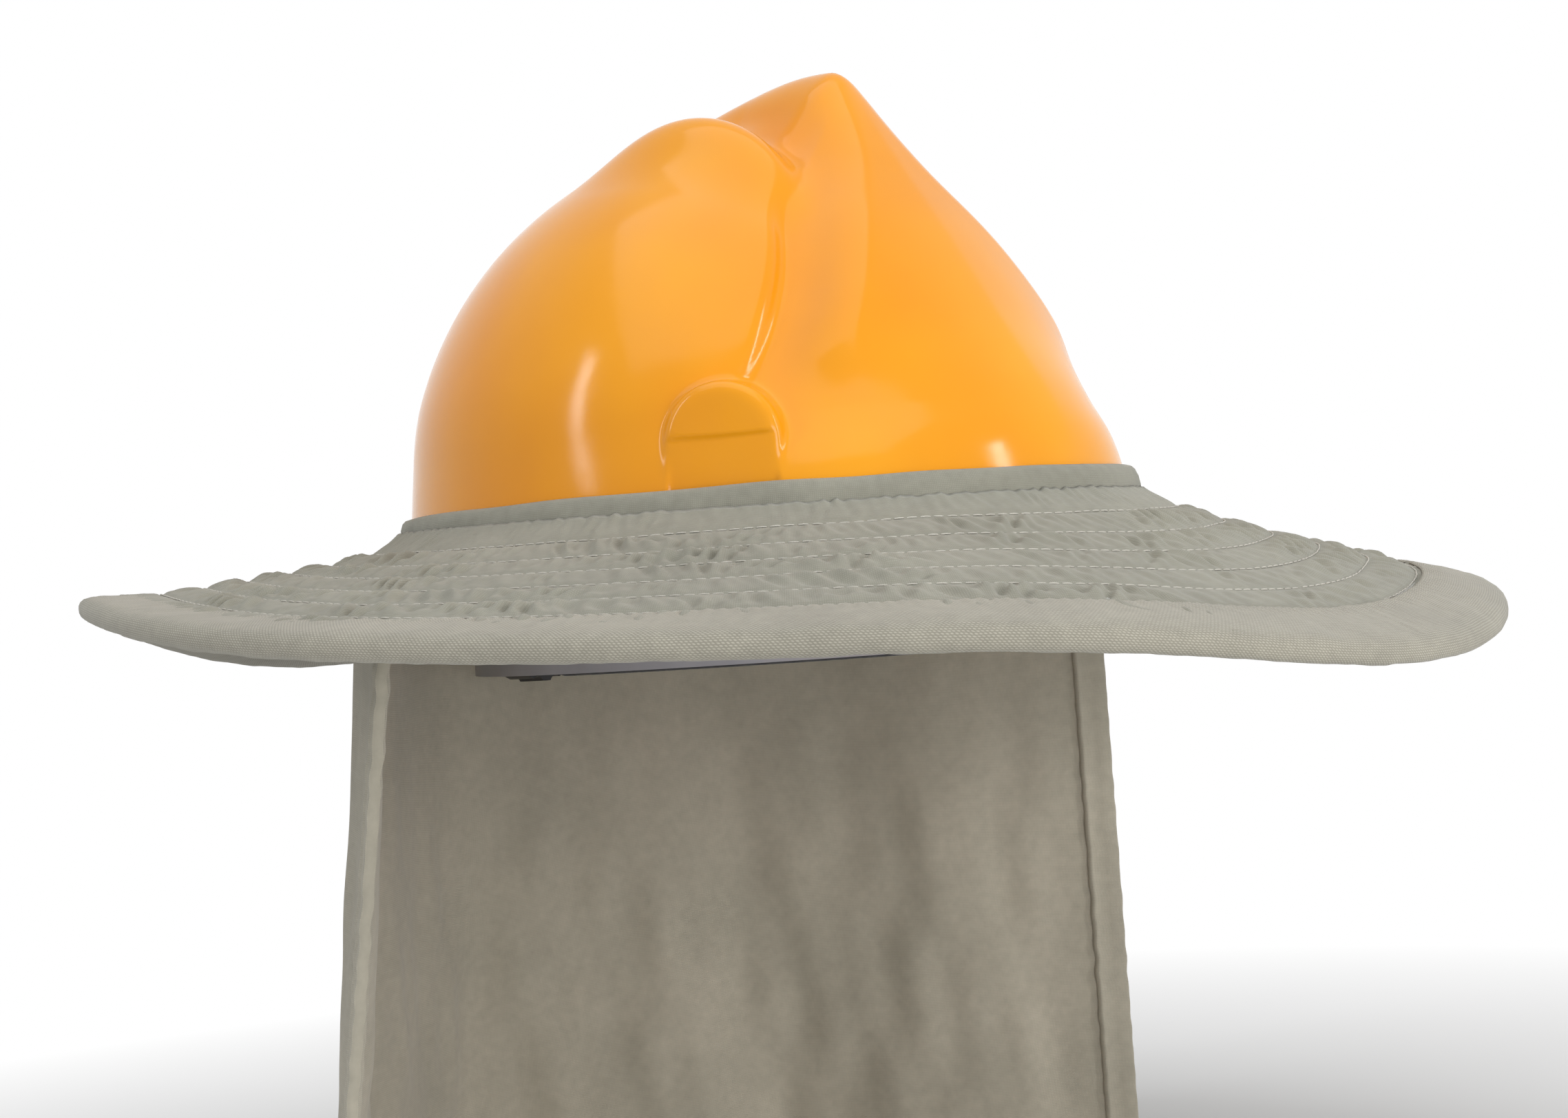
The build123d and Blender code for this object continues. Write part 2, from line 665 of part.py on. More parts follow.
with BuildPart() as ratchet_base:
    base_plan = nape_sector(
        HOUSING_INSIDE - HOUSING_WALL, HOUSING_INSIDE, -HOUSING_ANGLE, HOUSING_ANGLE
    )
    rail_plan = nape_sector(
        HOUSING_INSIDE - HOUSING_WALL,
        OUTER_RACK_OUTSIDE,
        -HOUSING_ANGLE,
        HOUSING_ANGLE,
    )
    with BuildSketch(Plane.XY.offset(AXLE_LEVEL - HOUSING_HEIGHT / 2)):
        add(base_plan)
    extrude(amount=HOUSING_HEIGHT)
    for level in (AXLE_LEVEL - HOUSING_HEIGHT / 2, AXLE_LEVEL + RAIL_LEVEL):
        with BuildSketch(Plane.XY.offset(level)):
            add(rail_plan)
        extrude(amount=HOUSING_RAIL)
    with BuildSketch(nape_plane(0, HOUSING_INSIDE + OVERRUN)):
        Circle(JOURNAL_RADIUS + RUNNING_FIT)
    extrude(amount=-JOURNAL_LENGTH - FIT / 2 - OVERRUN, mode=Mode.SUBTRACT)
finish(ratchet_base, "ratchet_base")

with BuildPart() as ratchet_cover:
    cover_plan = nape_sector(
        cover_inside, cover_inside + HOUSING_WALL, -HOUSING_ANGLE, HOUSING_ANGLE
    )
    with BuildSketch(Plane.XY.offset(AXLE_LEVEL - HOUSING_HEIGHT / 2)):
        add(cover_plan)
    extrude(amount=HOUSING_HEIGHT)
    with BuildSketch(nape_plane(0, platform_face)):
        Circle(min(PLATFORM_RADIUS, HOUSING_HEIGHT / 2))
    extrude(amount=-PLATFORM_RISE - HOUSING_WALL / 2)
    with BuildSketch(nape_plane(0, platform_face)):
        Circle(TURRET_RADIUS)
    extrude(amount=TURRET_RISE)
    with BuildSketch(nape_plane(0, cover_inside - OVERRUN)):
        Circle(SHAFT_RADIUS + RUNNING_FIT)
    extrude(amount=HOUSING_WALL + PLATFORM_RISE + TURRET_RISE + 2 * OVERRUN, mode=Mode.SUBTRACT)
finish(ratchet_cover, "ratchet_cover")

shaft_end = platform_face + TURRET_RISE + FIT

with BuildPart() as ratchet_pinion:
    with BuildSketch(nape_plane(0, gear_inside)):
        with BuildLine():
            Polyline(*outline_points, close=True)
        make_face()
    extrude(amount=gear_length)
    with BuildSketch(nape_plane(0, gear_inside)):
        Circle(JOURNAL_RADIUS)
    extrude(amount=HOUSING_INSIDE - gear_inside - JOURNAL_LENGTH)
    with BuildSketch(nape_plane(0, gear_inside + gear_length)):
        Circle(SHAFT_RADIUS)
    extrude(amount=shaft_end - gear_inside - gear_length)
    with BuildSketch(nape_plane(0, shaft_end)):
        RegularPolygon(DRIVE_RADIUS, 6)
    extrude(amount=DRIVE_LENGTH)
    with BuildSketch(nape_plane(0, shaft_end + DRIVE_LENGTH)):
        Circle(SCREW_RADIUS + RUNNING_FIT)
    extrude(amount=-SCREW_LENGTH, mode=Mode.SUBTRACT)
finish(ratchet_pinion, "ratchet_pinion")

screw_seat = knob_face + KNOB_THICKNESS - SCREW_SINK

with BuildPart() as ratchet_knob:
    with BuildSketch(nape_plane(0, knob_face)):
        Circle(KNOB_RADIUS)
        with PolarLocations(
            KNOB_RADIUS + KNOB_SCALLOP_RADIUS - KNOB_SCALLOP_DEPTH, KNOB_SCALLOPS
        ):
            Circle(KNOB_SCALLOP_RADIUS, mode=Mode.SUBTRACT)
    extrude(amount=KNOB_THICKNESS)
    chamfer(ratchet_knob.faces().sort_by(Axis.Y)[-1].edges(), KNOB_CHAMFER)
    with BuildSketch(nape_plane(0, knob_face)):
        Circle(NOTCH_RING)
        with PolarLocations(NOTCH_RING, NOTCH_COUNT):
            Circle(NOTCH_RADIUS)
    extrude(amount=CAVITY_DEPTH, mode=Mode.SUBTRACT)
    with BuildSketch(nape_plane(0, knob_face)):
        Circle(SHAFT_RADIUS + RUNNING_FIT)
    extrude(amount=shaft_end - knob_face + RUNNING_FIT, mode=Mode.SUBTRACT)
    with BuildSketch(nape_plane(0, shaft_end)):
        RegularPolygon(DRIVE_RADIUS + RUNNING_FIT, 6)
    extrude(amount=DRIVE_LENGTH + RUNNING_FIT, mode=Mode.SUBTRACT)
    with BuildSketch(nape_plane(0, knob_face + KNOB_THICKNESS)):
        Circle(SCREW_HEAD_RADIUS + FIT)
    extrude(amount=-SCREW_SINK, mode=Mode.SUBTRACT)
    with BuildSketch(nape_plane(0, knob_face + KNOB_THICKNESS)):
        Circle(SCREW_RADIUS + RUNNING_FIT)
    extrude(amount=-KNOB_THICKNESS, mode=Mode.SUBTRACT)
finish(ratchet_knob, "ratchet_knob")

with BuildPart() as pinion_screw:
    with BuildSketch(nape_plane(0, screw_seat)):
        Circle(SCREW_HEAD_RADIUS)
    extrude(amount=SCREW_HEAD_HEIGHT)
    fillet(pinion_screw.edges().sort_by(Axis.Y)[-1], SCREW_HEAD_HEIGHT / 3)
    with BuildSketch(nape_plane(0, screw_seat)):
        Circle(SCREW_RADIUS)
    extrude(amount=-(screw_seat - shaft_end - DRIVE_LENGTH + SCREW_LENGTH - FIT))
    with BuildSketch(nape_plane(0, screw_seat + SCREW_HEAD_HEIGHT)):
        Rectangle(SCREW_HEAD_RADIUS * 4 / 3, DRIVER_SLOT)
        Rectangle(DRIVER_SLOT, SCREW_HEAD_RADIUS * 4 / 3)
    extrude(amount=-DRIVER_SLOT, mode=Mode.SUBTRACT)
finish(pinion_screw, "pinion_screw")

with BuildPart() as detent_spring:
    ring_outside = TURRET_RADIUS + FIT + SPRING_STRIP
    with BuildSketch(nape_plane(0, platform_face + FIT / 2)):
        Circle(ring_outside)
        with Locations((0, (ring_outside + SPRING_ARM_RADIUS) / 2)):
            Rectangle(SPRING_STRIP, SPRING_ARM_RADIUS - ring_outside + SPRING_STRIP)
        with BuildLine():
            arm = CenterArc((0, 0), SPRING_ARM_RADIUS, 90, SPRING_ARM_ANGLE)
            offset(arm, amount=SPRING_STRIP / 2)
        make_face()
        nose_angle = math.radians(90 + SPRING_ARM_ANGLE)
        nose = NOTCH_RING - FIT - NOTCH_RADIUS
        with Locations((nose * math.cos(nose_angle), nose * math.sin(nose_angle))):
            Circle(NOTCH_RADIUS)
        Circle(TURRET_RADIUS + FIT / 2, mode=Mode.SUBTRACT)
    extrude(amount=SPRING_THICKNESS)
finish(detent_spring, "detent_spring")

with BuildPart() as nape_pad:
    pad_outside = HOUSING_INSIDE - HOUSING_WALL - FIT
    pad_plan = nape_sector(
        pad_outside - NAPE_PAD_THICKNESS, pad_outside, -NAPE_PAD_ANGLE, NAPE_PAD_ANGLE
    )
    with BuildSketch(Plane.XY.offset(AXLE_LEVEL - HOUSING_HEIGHT / 2)):
        add(pad_plan)
    extrude(amount=HOUSING_HEIGHT)
    fillet(nape_pad.edges(), NAPE_PAD_ROUND)
finish(nape_pad, "nape_pad")

# Sun shade collar

SEAM_LEVEL = GIRTH_LEVEL - COLLAR_HEIGHT
COLLAR_GROWTH = FIT + 2 * COLLAR_CLOTH + ELASTIC_THICKNESS + 2 * FIT
BRIM_GROWTH = COLLAR_GROWTH + FIT


def shell_ring(inside, outside, low, high):
    """A level ring around the shell, between two growths of its girth."""
    with BuildPart() as ring:
        with BuildSketch(Plane.XY.offset(low)):
            Ellipse(SHELL_HALF_WIDTH + outside, SHELL_BACK + outside)
            Ellipse(SHELL_HALF_WIDTH + inside, SHELL_BACK + inside, mode=Mode.SUBTRACT)
        extrude(amount=high - low)
    return ring.part


collar_ring = shell_ring(FIT, COLLAR_GROWTH, SEAM_LEVEL, GIRTH_LEVEL)
collar_channel = shell_ring(
    FIT + COLLAR_CLOTH,
    COLLAR_GROWTH - COLLAR_CLOTH,
    SEAM_LEVEL - OVERRUN,
    GIRTH_LEVEL - COLLAR_CLOTH,
)
with BuildPart() as collar_band:
    add(collar_ring)
    add(collar_channel, mode=Mode.SUBTRACT)
    fillet(collar_band.edges().group_by(Axis.Z)[-1], COLLAR_CLOTH / 2)
finish(collar_band, "collar_band")

elastic_ring = shell_ring(
    2 * FIT + COLLAR_CLOTH,
    2 * FIT + COLLAR_CLOTH + ELASTIC_THICKNESS,
    GIRTH_LEVEL - COLLAR_CLOTH - FIT - ELASTIC_HEIGHT,
    GIRTH_LEVEL - COLLAR_CLOTH - FIT,
)
with BuildPart() as collar_elastic:
    add(elastic_ring)
finish(collar_elastic, "collar_elastic")


# Sun shade brim

BRIM_THICKNESS = 2 * BRIM_CLOTH + STIFFENER_THICKNESS + 2 * FIT
EDGE_DRAW = BINDING_ROOM + BINDING_CLOTH + BINDING_PUFF
LAST_SECTION = len(EDGE_LEVEL_SHARES) - 1
SECTIONS = range(-1, LAST_SECTION + 2)


def folded(index):
    """The section of the modelled half that a section beyond the middle plane repeats."""
    return LAST_SECTION - abs(LAST_SECTION - abs(index))


def brim_frame(index):
    """The plane up through the brim at one of its sections, and the brim's span there."""
    turn = SECTION_TURN * index
    inner = on_ellipse(SHELL_HALF_WIDTH + BRIM_GROWTH, SHELL_BACK + BRIM_GROWTH, turn)
    outer = on_ellipse(BRIM_HALF_WIDTH - EDGE_DRAW, BRIM_HALF_LENGTH - EDGE_DRAW, turn)
    outer -= Vector(0, BRIM_FORWARD, 0)
    run = outer - inner
    out = run.normalized()
    return Plane(origin=inner, x_dir=out, z_dir=out.cross(Vector(0, 0, 1))), run.length


def brim_level(index, share):
    """The level of the brim's upper face, a share of the way out."""
    edge = EDGE_LEVEL_SHARES[folded(index)] * BRIM_WAVE
    sag = SAG_SHARES[folded(index)] * BRIM_SAG
    return SEAM_LEVEL + (edge - SEAM_LEVEL) * share - 4 * sag * share * (1 - share)


def brim_layer(rise, drop):
    """A layer that follows the brim, from a rise above its upper face to a drop below it."""
    with BuildPart() as layer:
        for index in SECTIONS:
            plane, span = brim_frame(index)
            first, last = brim_level(index, 0), brim_level(index, 1)
            middle = 2 * brim_level(index, 1 / 2) - (first + last) / 2
            line = [(0, first), (span / 2, middle), (span, last)]
            with BuildSketch(plane):
                with BuildLine():
                    upper = Bezier(*[(x, z + rise) for x, z in line])
                    lower = Bezier(*[(x, z - drop) for x, z in line])
                    Line(upper @ 0, lower @ 0)
                    Line(upper @ 1, lower @ 1)
                make_face()
        loft()
        split(bisect_by=Plane.YZ, keep=Keep.BOTTOM)
        mirror(about=Plane.YZ)
    return layer.part


stiffener_drop = BRIM_CLOTH + FIT + STIFFENER_THICKNESS
brim_layers = {
    "brim_top_cloth": brim_layer(0, BRIM_CLOTH),
    "brim_stiffener": brim_layer(-BRIM_CLOTH - FIT, stiffener_drop),
    "brim_lining": brim_layer(BRIM_CLOTH - BRIM_THICKNESS, BRIM_THICKNESS),
}
for name, layer in brim_layers.items():
    with BuildPart() as brim_piece:
        add(layer)
    finish(brim_piece, name)

flap = BRIM_THICKNESS / 2 + BINDING_ROOM
puff = flap + BINDING_CLOTH + BINDING_PUFF
binding_upper = [
    (-BINDING_WIDTH, flap + BINDING_CLOTH),
    (-BINDING_WIDTH / 2, puff),
    (0, puff),
    (EDGE_DRAW * ROLL_SHARE, puff * ROLL_SHARE),
]
binding_hollow = [(BINDING_ROOM, flap), (-BINDING_WIDTH / 2, flap), (-BINDING_WIDTH, flap)]
binding_outline = [
    *binding_upper,
    (EDGE_DRAW, 0),
    *((d, -w) for d, w in reversed(binding_upper)),
    *((d, -w) for d, w in reversed(binding_hollow)),
    *binding_hollow,
]

with BuildPart() as brim_binding:
    for index in SECTIONS:
        plane, span = brim_frame(index)
        points = [
            (span + d, brim_level(index, 1 + d / span) - BRIM_THICKNESS / 2 + w)
            for d, w in binding_outline
        ]
        with BuildSketch(plane):
            with BuildLine():
                Polyline(*points, close=True)
            make_face()
    loft()
    split(bisect_by=Plane.YZ, keep=Keep.BOTTOM)
    mirror(about=Plane.YZ)
finish(brim_binding, "brim_binding")


# Neck curtain


def curtain_path(spread):
    """The curtain's plan from the wearer's right round the back to the left."""
    half_width = BRIM_HALF_WIDTH - CURTAIN_INSET + spread
    back = SHELL_BACK + BRIM_GROWTH + CURTAIN_BACK_GAP + spread
    reach = back + CURTAIN_FRONT_OVERLAP
    right = [
        (-half_width * side, reach * behind - CURTAIN_FRONT_OVERLAP)
        for side, behind in zip(CURTAIN_SIDE_SHARES, CURTAIN_BACK_SHARES)
    ]
    left = [(-x, y) for x, y in reversed(right)]
    return Spline([*right, (0, back), *left], mode=Mode.PRIVATE)


def curtain_form(inside, outside, start, width=0.0):
    """A hanging form between two growths of the curtain's plan, from a start along each hem.

    Without a width it goes round to the other hem.
    """
    with BuildPart() as form:
        for level in (GIRTH_LEVEL, CURTAIN_LEVEL / 2, CURTAIN_LEVEL):
            share = (GIRTH_LEVEL - level) / (GIRTH_LEVEL - CURTAIN_LEVEL)
            path = curtain_path(CURTAIN_SPREAD * share)
            first = start / path.length
            last = first + width / path.length if width else 1 - first
            count = HEM_POINTS if width else CURTAIN_POINTS
            faces = []
            for growth in (inside, outside):
                points = []
                for index in range(count):
                    place = first + (last - first) * index / (count - 1)
                    along = path % place
                    wave = math.sin(math.pi * place) * math.cos(2 * math.pi * FOLD_COUNT * place)
                    out = growth + FOLD_DEPTH * share * wave
                    points.append(path @ place + Vector(-along.Y, along.X, 0) * out)
                faces.append(points)
            with BuildSketch(Plane.XY.offset(level)):
                with BuildLine():
                    inner = Spline(faces[0])
                    outer = Spline(faces[1])
                    Line(outer @ 0, inner @ 0)
                    Line(outer @ 1, inner @ 1)
                make_face()
        loft()
    return form.part


HEM_START = HEM_CLOTH + FIT
brim_space = brim_layer(2 * BRIM_WAVE, BRIM_THICKNESS + FIT)
curtain = curtain_form(0.0, CURTAIN_CLOTH, HEM_START)
hem_outside = curtain_form(-HEM_START, CURTAIN_CLOTH + HEM_START, 0.0, HEM_WIDTH)
hem_inside = curtain_form(-FIT, CURTAIN_CLOTH + FIT, HEM_CLOTH, HEM_WIDTH)
tape_band = curtain_form(
    CURTAIN_CLOTH + HEM_START + FIT, CURTAIN_CLOTH + HEM_START + FIT + TAPE_WIDTH, 0.0
)
tape_layer = brim_layer(-BRIM_THICKNESS - FIT, BRIM_THICKNESS + FIT + TAPE_THICKNESS)

with BuildPart() as neck_curtain:
    add(curtain)
    add(brim_space, mode=Mode.SUBTRACT)
finish(neck_curtain, "neck_curtain")

with BuildPart() as hem:
    add(hem_outside)
    add(hem_inside, mode=Mode.SUBTRACT)
    add(brim_space, mode=Mode.SUBTRACT)

with BuildPart() as curtain_hem_right:
    add(hem.part)
finish(curtain_hem_right, "curtain_hem_right")

with BuildPart() as curtain_hem_left:
    mirror(hem.part, about=Plane.YZ)
finish(curtain_hem_left, "curtain_hem_left")

with BuildPart() as curtain_seam_tape:
    add(tape_band)
    add(tape_layer, mode=Mode.INTERSECT)
finish(curtain_seam_tape, "curtain_seam_tape")
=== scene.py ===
import math

import bmesh
import bpy
import numpy as np
from mathutils import Matrix, Vector


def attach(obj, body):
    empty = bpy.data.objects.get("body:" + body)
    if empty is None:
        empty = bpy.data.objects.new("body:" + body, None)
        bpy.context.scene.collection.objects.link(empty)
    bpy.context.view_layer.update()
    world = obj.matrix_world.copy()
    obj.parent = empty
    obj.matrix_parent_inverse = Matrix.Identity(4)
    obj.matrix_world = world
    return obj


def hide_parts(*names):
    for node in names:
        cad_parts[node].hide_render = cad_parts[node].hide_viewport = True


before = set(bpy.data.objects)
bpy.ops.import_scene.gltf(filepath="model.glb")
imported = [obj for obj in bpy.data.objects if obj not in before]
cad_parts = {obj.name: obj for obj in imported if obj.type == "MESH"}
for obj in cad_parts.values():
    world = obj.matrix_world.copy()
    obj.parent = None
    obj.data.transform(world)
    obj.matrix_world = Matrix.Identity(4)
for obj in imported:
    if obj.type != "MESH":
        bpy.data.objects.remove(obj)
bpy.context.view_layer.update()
rng = np.random.default_rng(7)

# Sizes in millimetres, as in the CAD. The front is -Y and the wearer's right is -X.
# Turns run from the front to the wearer's right. Tables along them have a value every 22.5 degrees.
UNIT = 0.001
TWO_PI = 2 * math.pi

# Shell: f is forwards, and z is up
GIRTH = 52.0
SIDE, LONG = 106.0, 124.0
RIM = 28.0
WALL = 2.4
DOME_FRONT, DOME_BACK, DOME_RISE = 101.0, 124.0, 118.0
RIDGE_LEVELS = (40, 52, 70, 85, 105, 131, 149, 165, 190)
RIDGE_HALVES = (80, 78, 72, 66, 54, 36, 21, 13, 6)
VALLEY_PLACES = (86, 84, 77, 69, 58, 43, 32, 24, 18)
VALLEY_WIDTH, VALLEY_DEPTH = 7.0, 6.0
VALLEY_FORWARD, VALLEY_UP = (20, 25), (62, 16)
PANEL_BENDS = (0.0058, 0.0058, 0.0056, 0.0048, 0.0028, 0.0011, 0.0007, 0.0005, 0.0005)
PANEL_FORWARD, PANEL_UP = 0.838, 0.545
PANEL_FOOT = (120.7, 67.0)
PANEL_FALL, CREST_FALL = 0.08, 0.3
CREST_CENTRE, CREST_RADIUS = (33.0, 94.5), 90.3
KEEL_RADII = (90.0, 124.0, 124.0)
KEEL_HALF, KEEL_FROM, KEEL_RUN = 5.0, 50.0, 40.0
FLANK_LEAN, FLANK_TOP_LEAN, FLANK_TOP, FLANK_GROWTH = 0.25, 0.35, (110, 40), 0.9
RIB_RADII = (17.0, 44.0, 40.0)
RIB_SIDE, RIB_FORWARD, RIB_LEVEL = 36.0, 9.0, 131.5
SKIRT_RISE, SKIRT_REACH, SKIRT_SIDE, SKIRT_POWER = 21.0, 12.0, 75.0, 1.5
FLARE_SLOPE, FLARE_CURVE = 11.5, 2.0
# Bosses: a turn, a top, half a width and how softly each joins
BOSSES = ((60, 83, 18, 2.2), (125, 64, 17, 2.2))
BOSS_STAND, BOSS_ARCH, BOSS_EDGE = 1.2, 0.9, 3.0
RECESS_HALF, RECESS_TOP, RECESS_DEPTH, RECESS_EDGE = 15.0, 66.0, 2.1, 0.8
JOIN_TOP, JOIN_LID, JOIN_FLANK, JOIN_SKIRT = 10.0, 3.0, 7.0, 12.0
JOIN_CREST, JOIN_RIB, JOIN_FLARE, JOIN_GIRTH = 7.0, 9.0, 10.0, 6.0
MEAN_GIRTH = 112.0
RIM_FLANGE = 3.4
RAY_NEAR, RAY_FAR, RAY_STEPS = 60.0, 160.0, 34
VISOR_TURN, VISOR_REACH, VISOR_DROP = 1.18, 40.5, 16.5
VISOR_LEVEL, VISOR_LAP, VISOR_FADE, VISOR_RUN, VISOR_CURVE = 33.0, 1.6, 0.62, 42.0, 0.9

# Brim
SEAM = 42.0
COLLAR_OUT, COLLAR_GAP = 4.1, 0.3
BRIM_SIDE, BRIM_LONG, BRIM_FORWARD = 219.1, 224.1, 8.0
BRIM_THICK = 4.6
BRIM_WIDTH = 105.0
EDGE_LEVELS = (-6.0, 3.0, 9.6, 13.0, 19.0, 28.0, 33.0, 19.0, 10.0)
SAGS = (0.2, 0.2, 0.6, 1.8, 3.2, 4.0, 4.0, 4.0, 4.0)
RING_SHARES = (0.10, 0.235, 0.37, 0.505, 0.64, 0.775)
CLOTH = 0.8
CLOTH_SINK = 0.15
# Puckers, gathers and waves: a pitch and a height
FINE_PUCKER, COARSE_PUCKER = (6.4, 0.6), (13.0, 0.85)
RING_GROOVE, UNDER_GROOVE = 0.6, 0.22
UNDER_WAVE = (26.0, 0.18)
PUFF = 0.5
COLLAR_RISE, FRONT_FALL, RISE_FADE, BACK_FILL = 4.6, 1.6, 15.0, 6.5
BINDING_SWELL, BINDING_CREASE, BINDING_PUCKER = (26.0, 0.05), (9.0, 0.025), (4.2, 0.06)
BINDING_ROW = (-22, -17)
# Sections of binding and collar: a reach outwards with a height, and a growth with a level
BINDING_HALF = (
    (-22.0, 2.7), (-21.7, 3.1), (-20.8, 3.45), (-18.0, 3.75), (-14.0, 4.0), (-9.0, 4.15), (-4.0, 4.1),
    (-0.8, 3.8), (1.1, 3.2), (2.3, 2.2), (2.8, 1.1), (2.9, 0.0),
)
BINDING_INSIDE = (
    (-21.8, -2.75), (-12.0, -2.75), (0.3, -2.6), (0.5, 0.0), (0.3, 2.6), (-12.0, 2.75), (-21.8, 2.75),
)
COLLAR_SECTION = (
    (0.4, 41.4), (0.35, 46.0), (0.1, 50.4), (-0.2, 51.8), (0.5, 52.4), (1.5, 52.2), (2.4, 51.2),
    (3.2, 49.2), (3.6, 46.6), (3.9, 44.0), (4.2, 42.0), (2.2, 41.2),
)
COLLAR_JOIN_TURN, COLLAR_JOIN_LEVEL, COLLAR_JOIN_LEAN, COLLAR_JOIN_HEIGHT = 50.0, 46.8, 0.052, 0.5
COLLAR_GATHERS = ((9.0, 0.16), (34.0, 0.2))
MEAN_RADIUS = 115
STITCH_RADIUS, STITCH_LENGTH, STITCH_GAP = 0.24, 3.0, 0.9
STITCH_LIFT, STITCH_JITTER, STITCH_DRIFT, STITCH_SIDES = 0.06, 0.12, 0.1, 6

# Neck curtain
CURTAIN_SIDE = 179.0
CURTAIN_BACK = LONG + 4.4 + 19.0
CURTAIN_SPREAD = 11.0
CURTAIN_LEVEL = -195.0
CURTAIN_LENGTH, CURTAIN_DROP = 620.0, 215
CURTAIN_CLOTH = (0.1, 1.1)
CURTAIN_GAP, NORMAL_SPREAD = 0.35, 5.0
HEM_FRONTS = ((3.6, -20.0), (0.6, -11.0))
SIDE_SHARES = (1.0, 0.78, 0.56, 0.335, 0.0)
BACK_SHARES = (0.0, 0.287, 0.62, 0.823, 1.0)
FOLD_DEPTH, FOLD_COUNT = 6.0, 4
HANG_WAVE, HANG_CREASE, HEM_WAVE = (75.0, 2.6), (26.0, 1.0), (14.0, 0.35)
GATHER_PITCH, GATHER_HEIGHT, GATHER_FADE = 9.0, 0.5, 22
HEM_SECTION = (
    (0.0, -0.8), (0.0, 1.9), (0.6, 2.3), (6.0, 2.2), (11.5, 2.3), (12.6, 3.0), (13.8, 3.1), (14.8, 2.2),
    (15.0, 1.4), (15.0, -0.2), (14.8, -1.0), (13.8, -1.9), (12.6, -1.8), (11.5, -1.1), (6.0, -1.0),
    (0.6, -1.1),
)
TAPE_SECTION = ((2.7, 0.3), (11.4, 0.3), (11.4, 1.1), (2.7, 1.1))
TAPE_PLACES = (0, 9.0, 10.0, 18.0)

# Floor and world: the floor turns white to the camera between two distances in metres
FLOOR_LEVEL, FLOOR_HALF = -203, 6000
WHITE_FROM, WHITE_TO = 0.35, 0.75
WORLD_STRENGTH = 0.38


# Meshes

def make_object(name, verts, faces, smooth=True):
    mesh = bpy.data.meshes.new(name)
    mesh.from_pydata([tuple(v) for v in np.asarray(verts) * UNIT], [], [tuple(f) for f in faces])
    mesh.validate()
    mesh.update()
    mesh.shade_smooth() if smooth else mesh.shade_flat()
    piece = bpy.data.objects.new(name, mesh)
    bpy.context.scene.collection.objects.link(piece)
    return piece


def grid_faces(rows, cols, wrap_rows=False, wrap_cols=False, start=0, flip=False):
    i = np.arange(rows if wrap_rows else rows - 1)
    j = np.arange(cols if wrap_cols else cols - 1)
    i, j = np.meshgrid(i, j, indexing="ij")
    i2, j2 = (i + 1) % rows, (j + 1) % cols
    quads = np.stack([i * cols + j, i2 * cols + j, i2 * cols + j2, i * cols + j2], -1)
    quads = quads.reshape(-1, 4) + start
    return quads[:, ::-1] if flip else quads


def tube_object(name, points, wrap_rows=True):
    """points[row, col]: closed sections of cols points along rows, with end caps where rows don't wrap."""
    rows, cols = points.shape[:2]
    faces = list(grid_faces(rows, cols, wrap_rows, True))
    if not wrap_rows:
        faces.append(list(range(cols))[::-1])
        faces.append([(rows - 1) * cols + c for c in range(cols)])
    return make_object(name, points.reshape(-1, 3), faces)


def recalc(piece):
    """Turns the piece's faces outwards."""
    bm = bmesh.new()
    bm.from_mesh(piece.data)
    bmesh.ops.recalc_face_normals(bm, faces=bm.faces)
    bm.to_mesh(piece.data)
    bm.free()
    return piece


def set_uv(piece, u, v):
    """Gives a grid's cloth map, in metres, from its distances along and across in mm."""
    uv = np.stack(np.broadcast_arrays(u, v), -1).reshape(-1, 2) * UNIT
    mesh = piece.data
    layer = mesh.uv_layers.new(name="cloth")
    index = np.empty(len(mesh.loops), dtype=np.int32)
    mesh.loops.foreach_get("vertex_index", index)
    layer.data.foreach_set("uv", uv.astype(np.float32)[index].ravel())


def smooth_noise(coords, scale, seed):
    """Sum of a few seeded sine waves in 1 to 3 dimensions, about -1 to 1."""
    r = np.random.default_rng(seed)
    coords = np.asarray(coords, dtype=float)
    total = np.zeros(coords.shape[:-1])
    for _ in range(9):
        k = r.normal(size=coords.shape[-1])
        k = k / np.linalg.norm(k) * r.uniform(0.6, 1.7) * TWO_PI / scale
        total += np.sin(coords @ k + r.uniform(0, TWO_PI))
    return total / 4.0


def blend_min(a, b, k):
    h = np.clip(0.5 + 0.5 * (b - a) / k, 0, 1)
    return b + (a - b) * h - k * h * (1 - h)


def blend_max(a, b, k):
    return -blend_min(-a, -b, k)


# Shell: a smooth blend of dome, flare, crest, ribs and bosses, found along rays from inside

def ellipsoid_gap(x, f, z, radii, centre):
    p = (x - centre[0], f - centre[1], z - centre[2])
    k0 = np.sqrt(sum((v / r) ** 2 for v, r in zip(p, radii)))
    k1 = np.sqrt(sum((v / r**2) ** 2 for v, r in zip(p, radii))) + 1e-9
    return k0 * (k0 - 1) / k1


def ramp(value, start, length):
    """0 up to a start, then up to 1 over a length."""
    return np.clip((value - start) / length, 0, 1)


def smooth_line(value, knots, values):
    """A value read between knots and rounded at them."""
    t = np.clip(value, knots[0], knots[-1])
    total = 0.0
    for shift in (-6, -3, 0, 3, 6):
        total = total + 0.2 * np.interp(t + shift, knots, values)
    return total


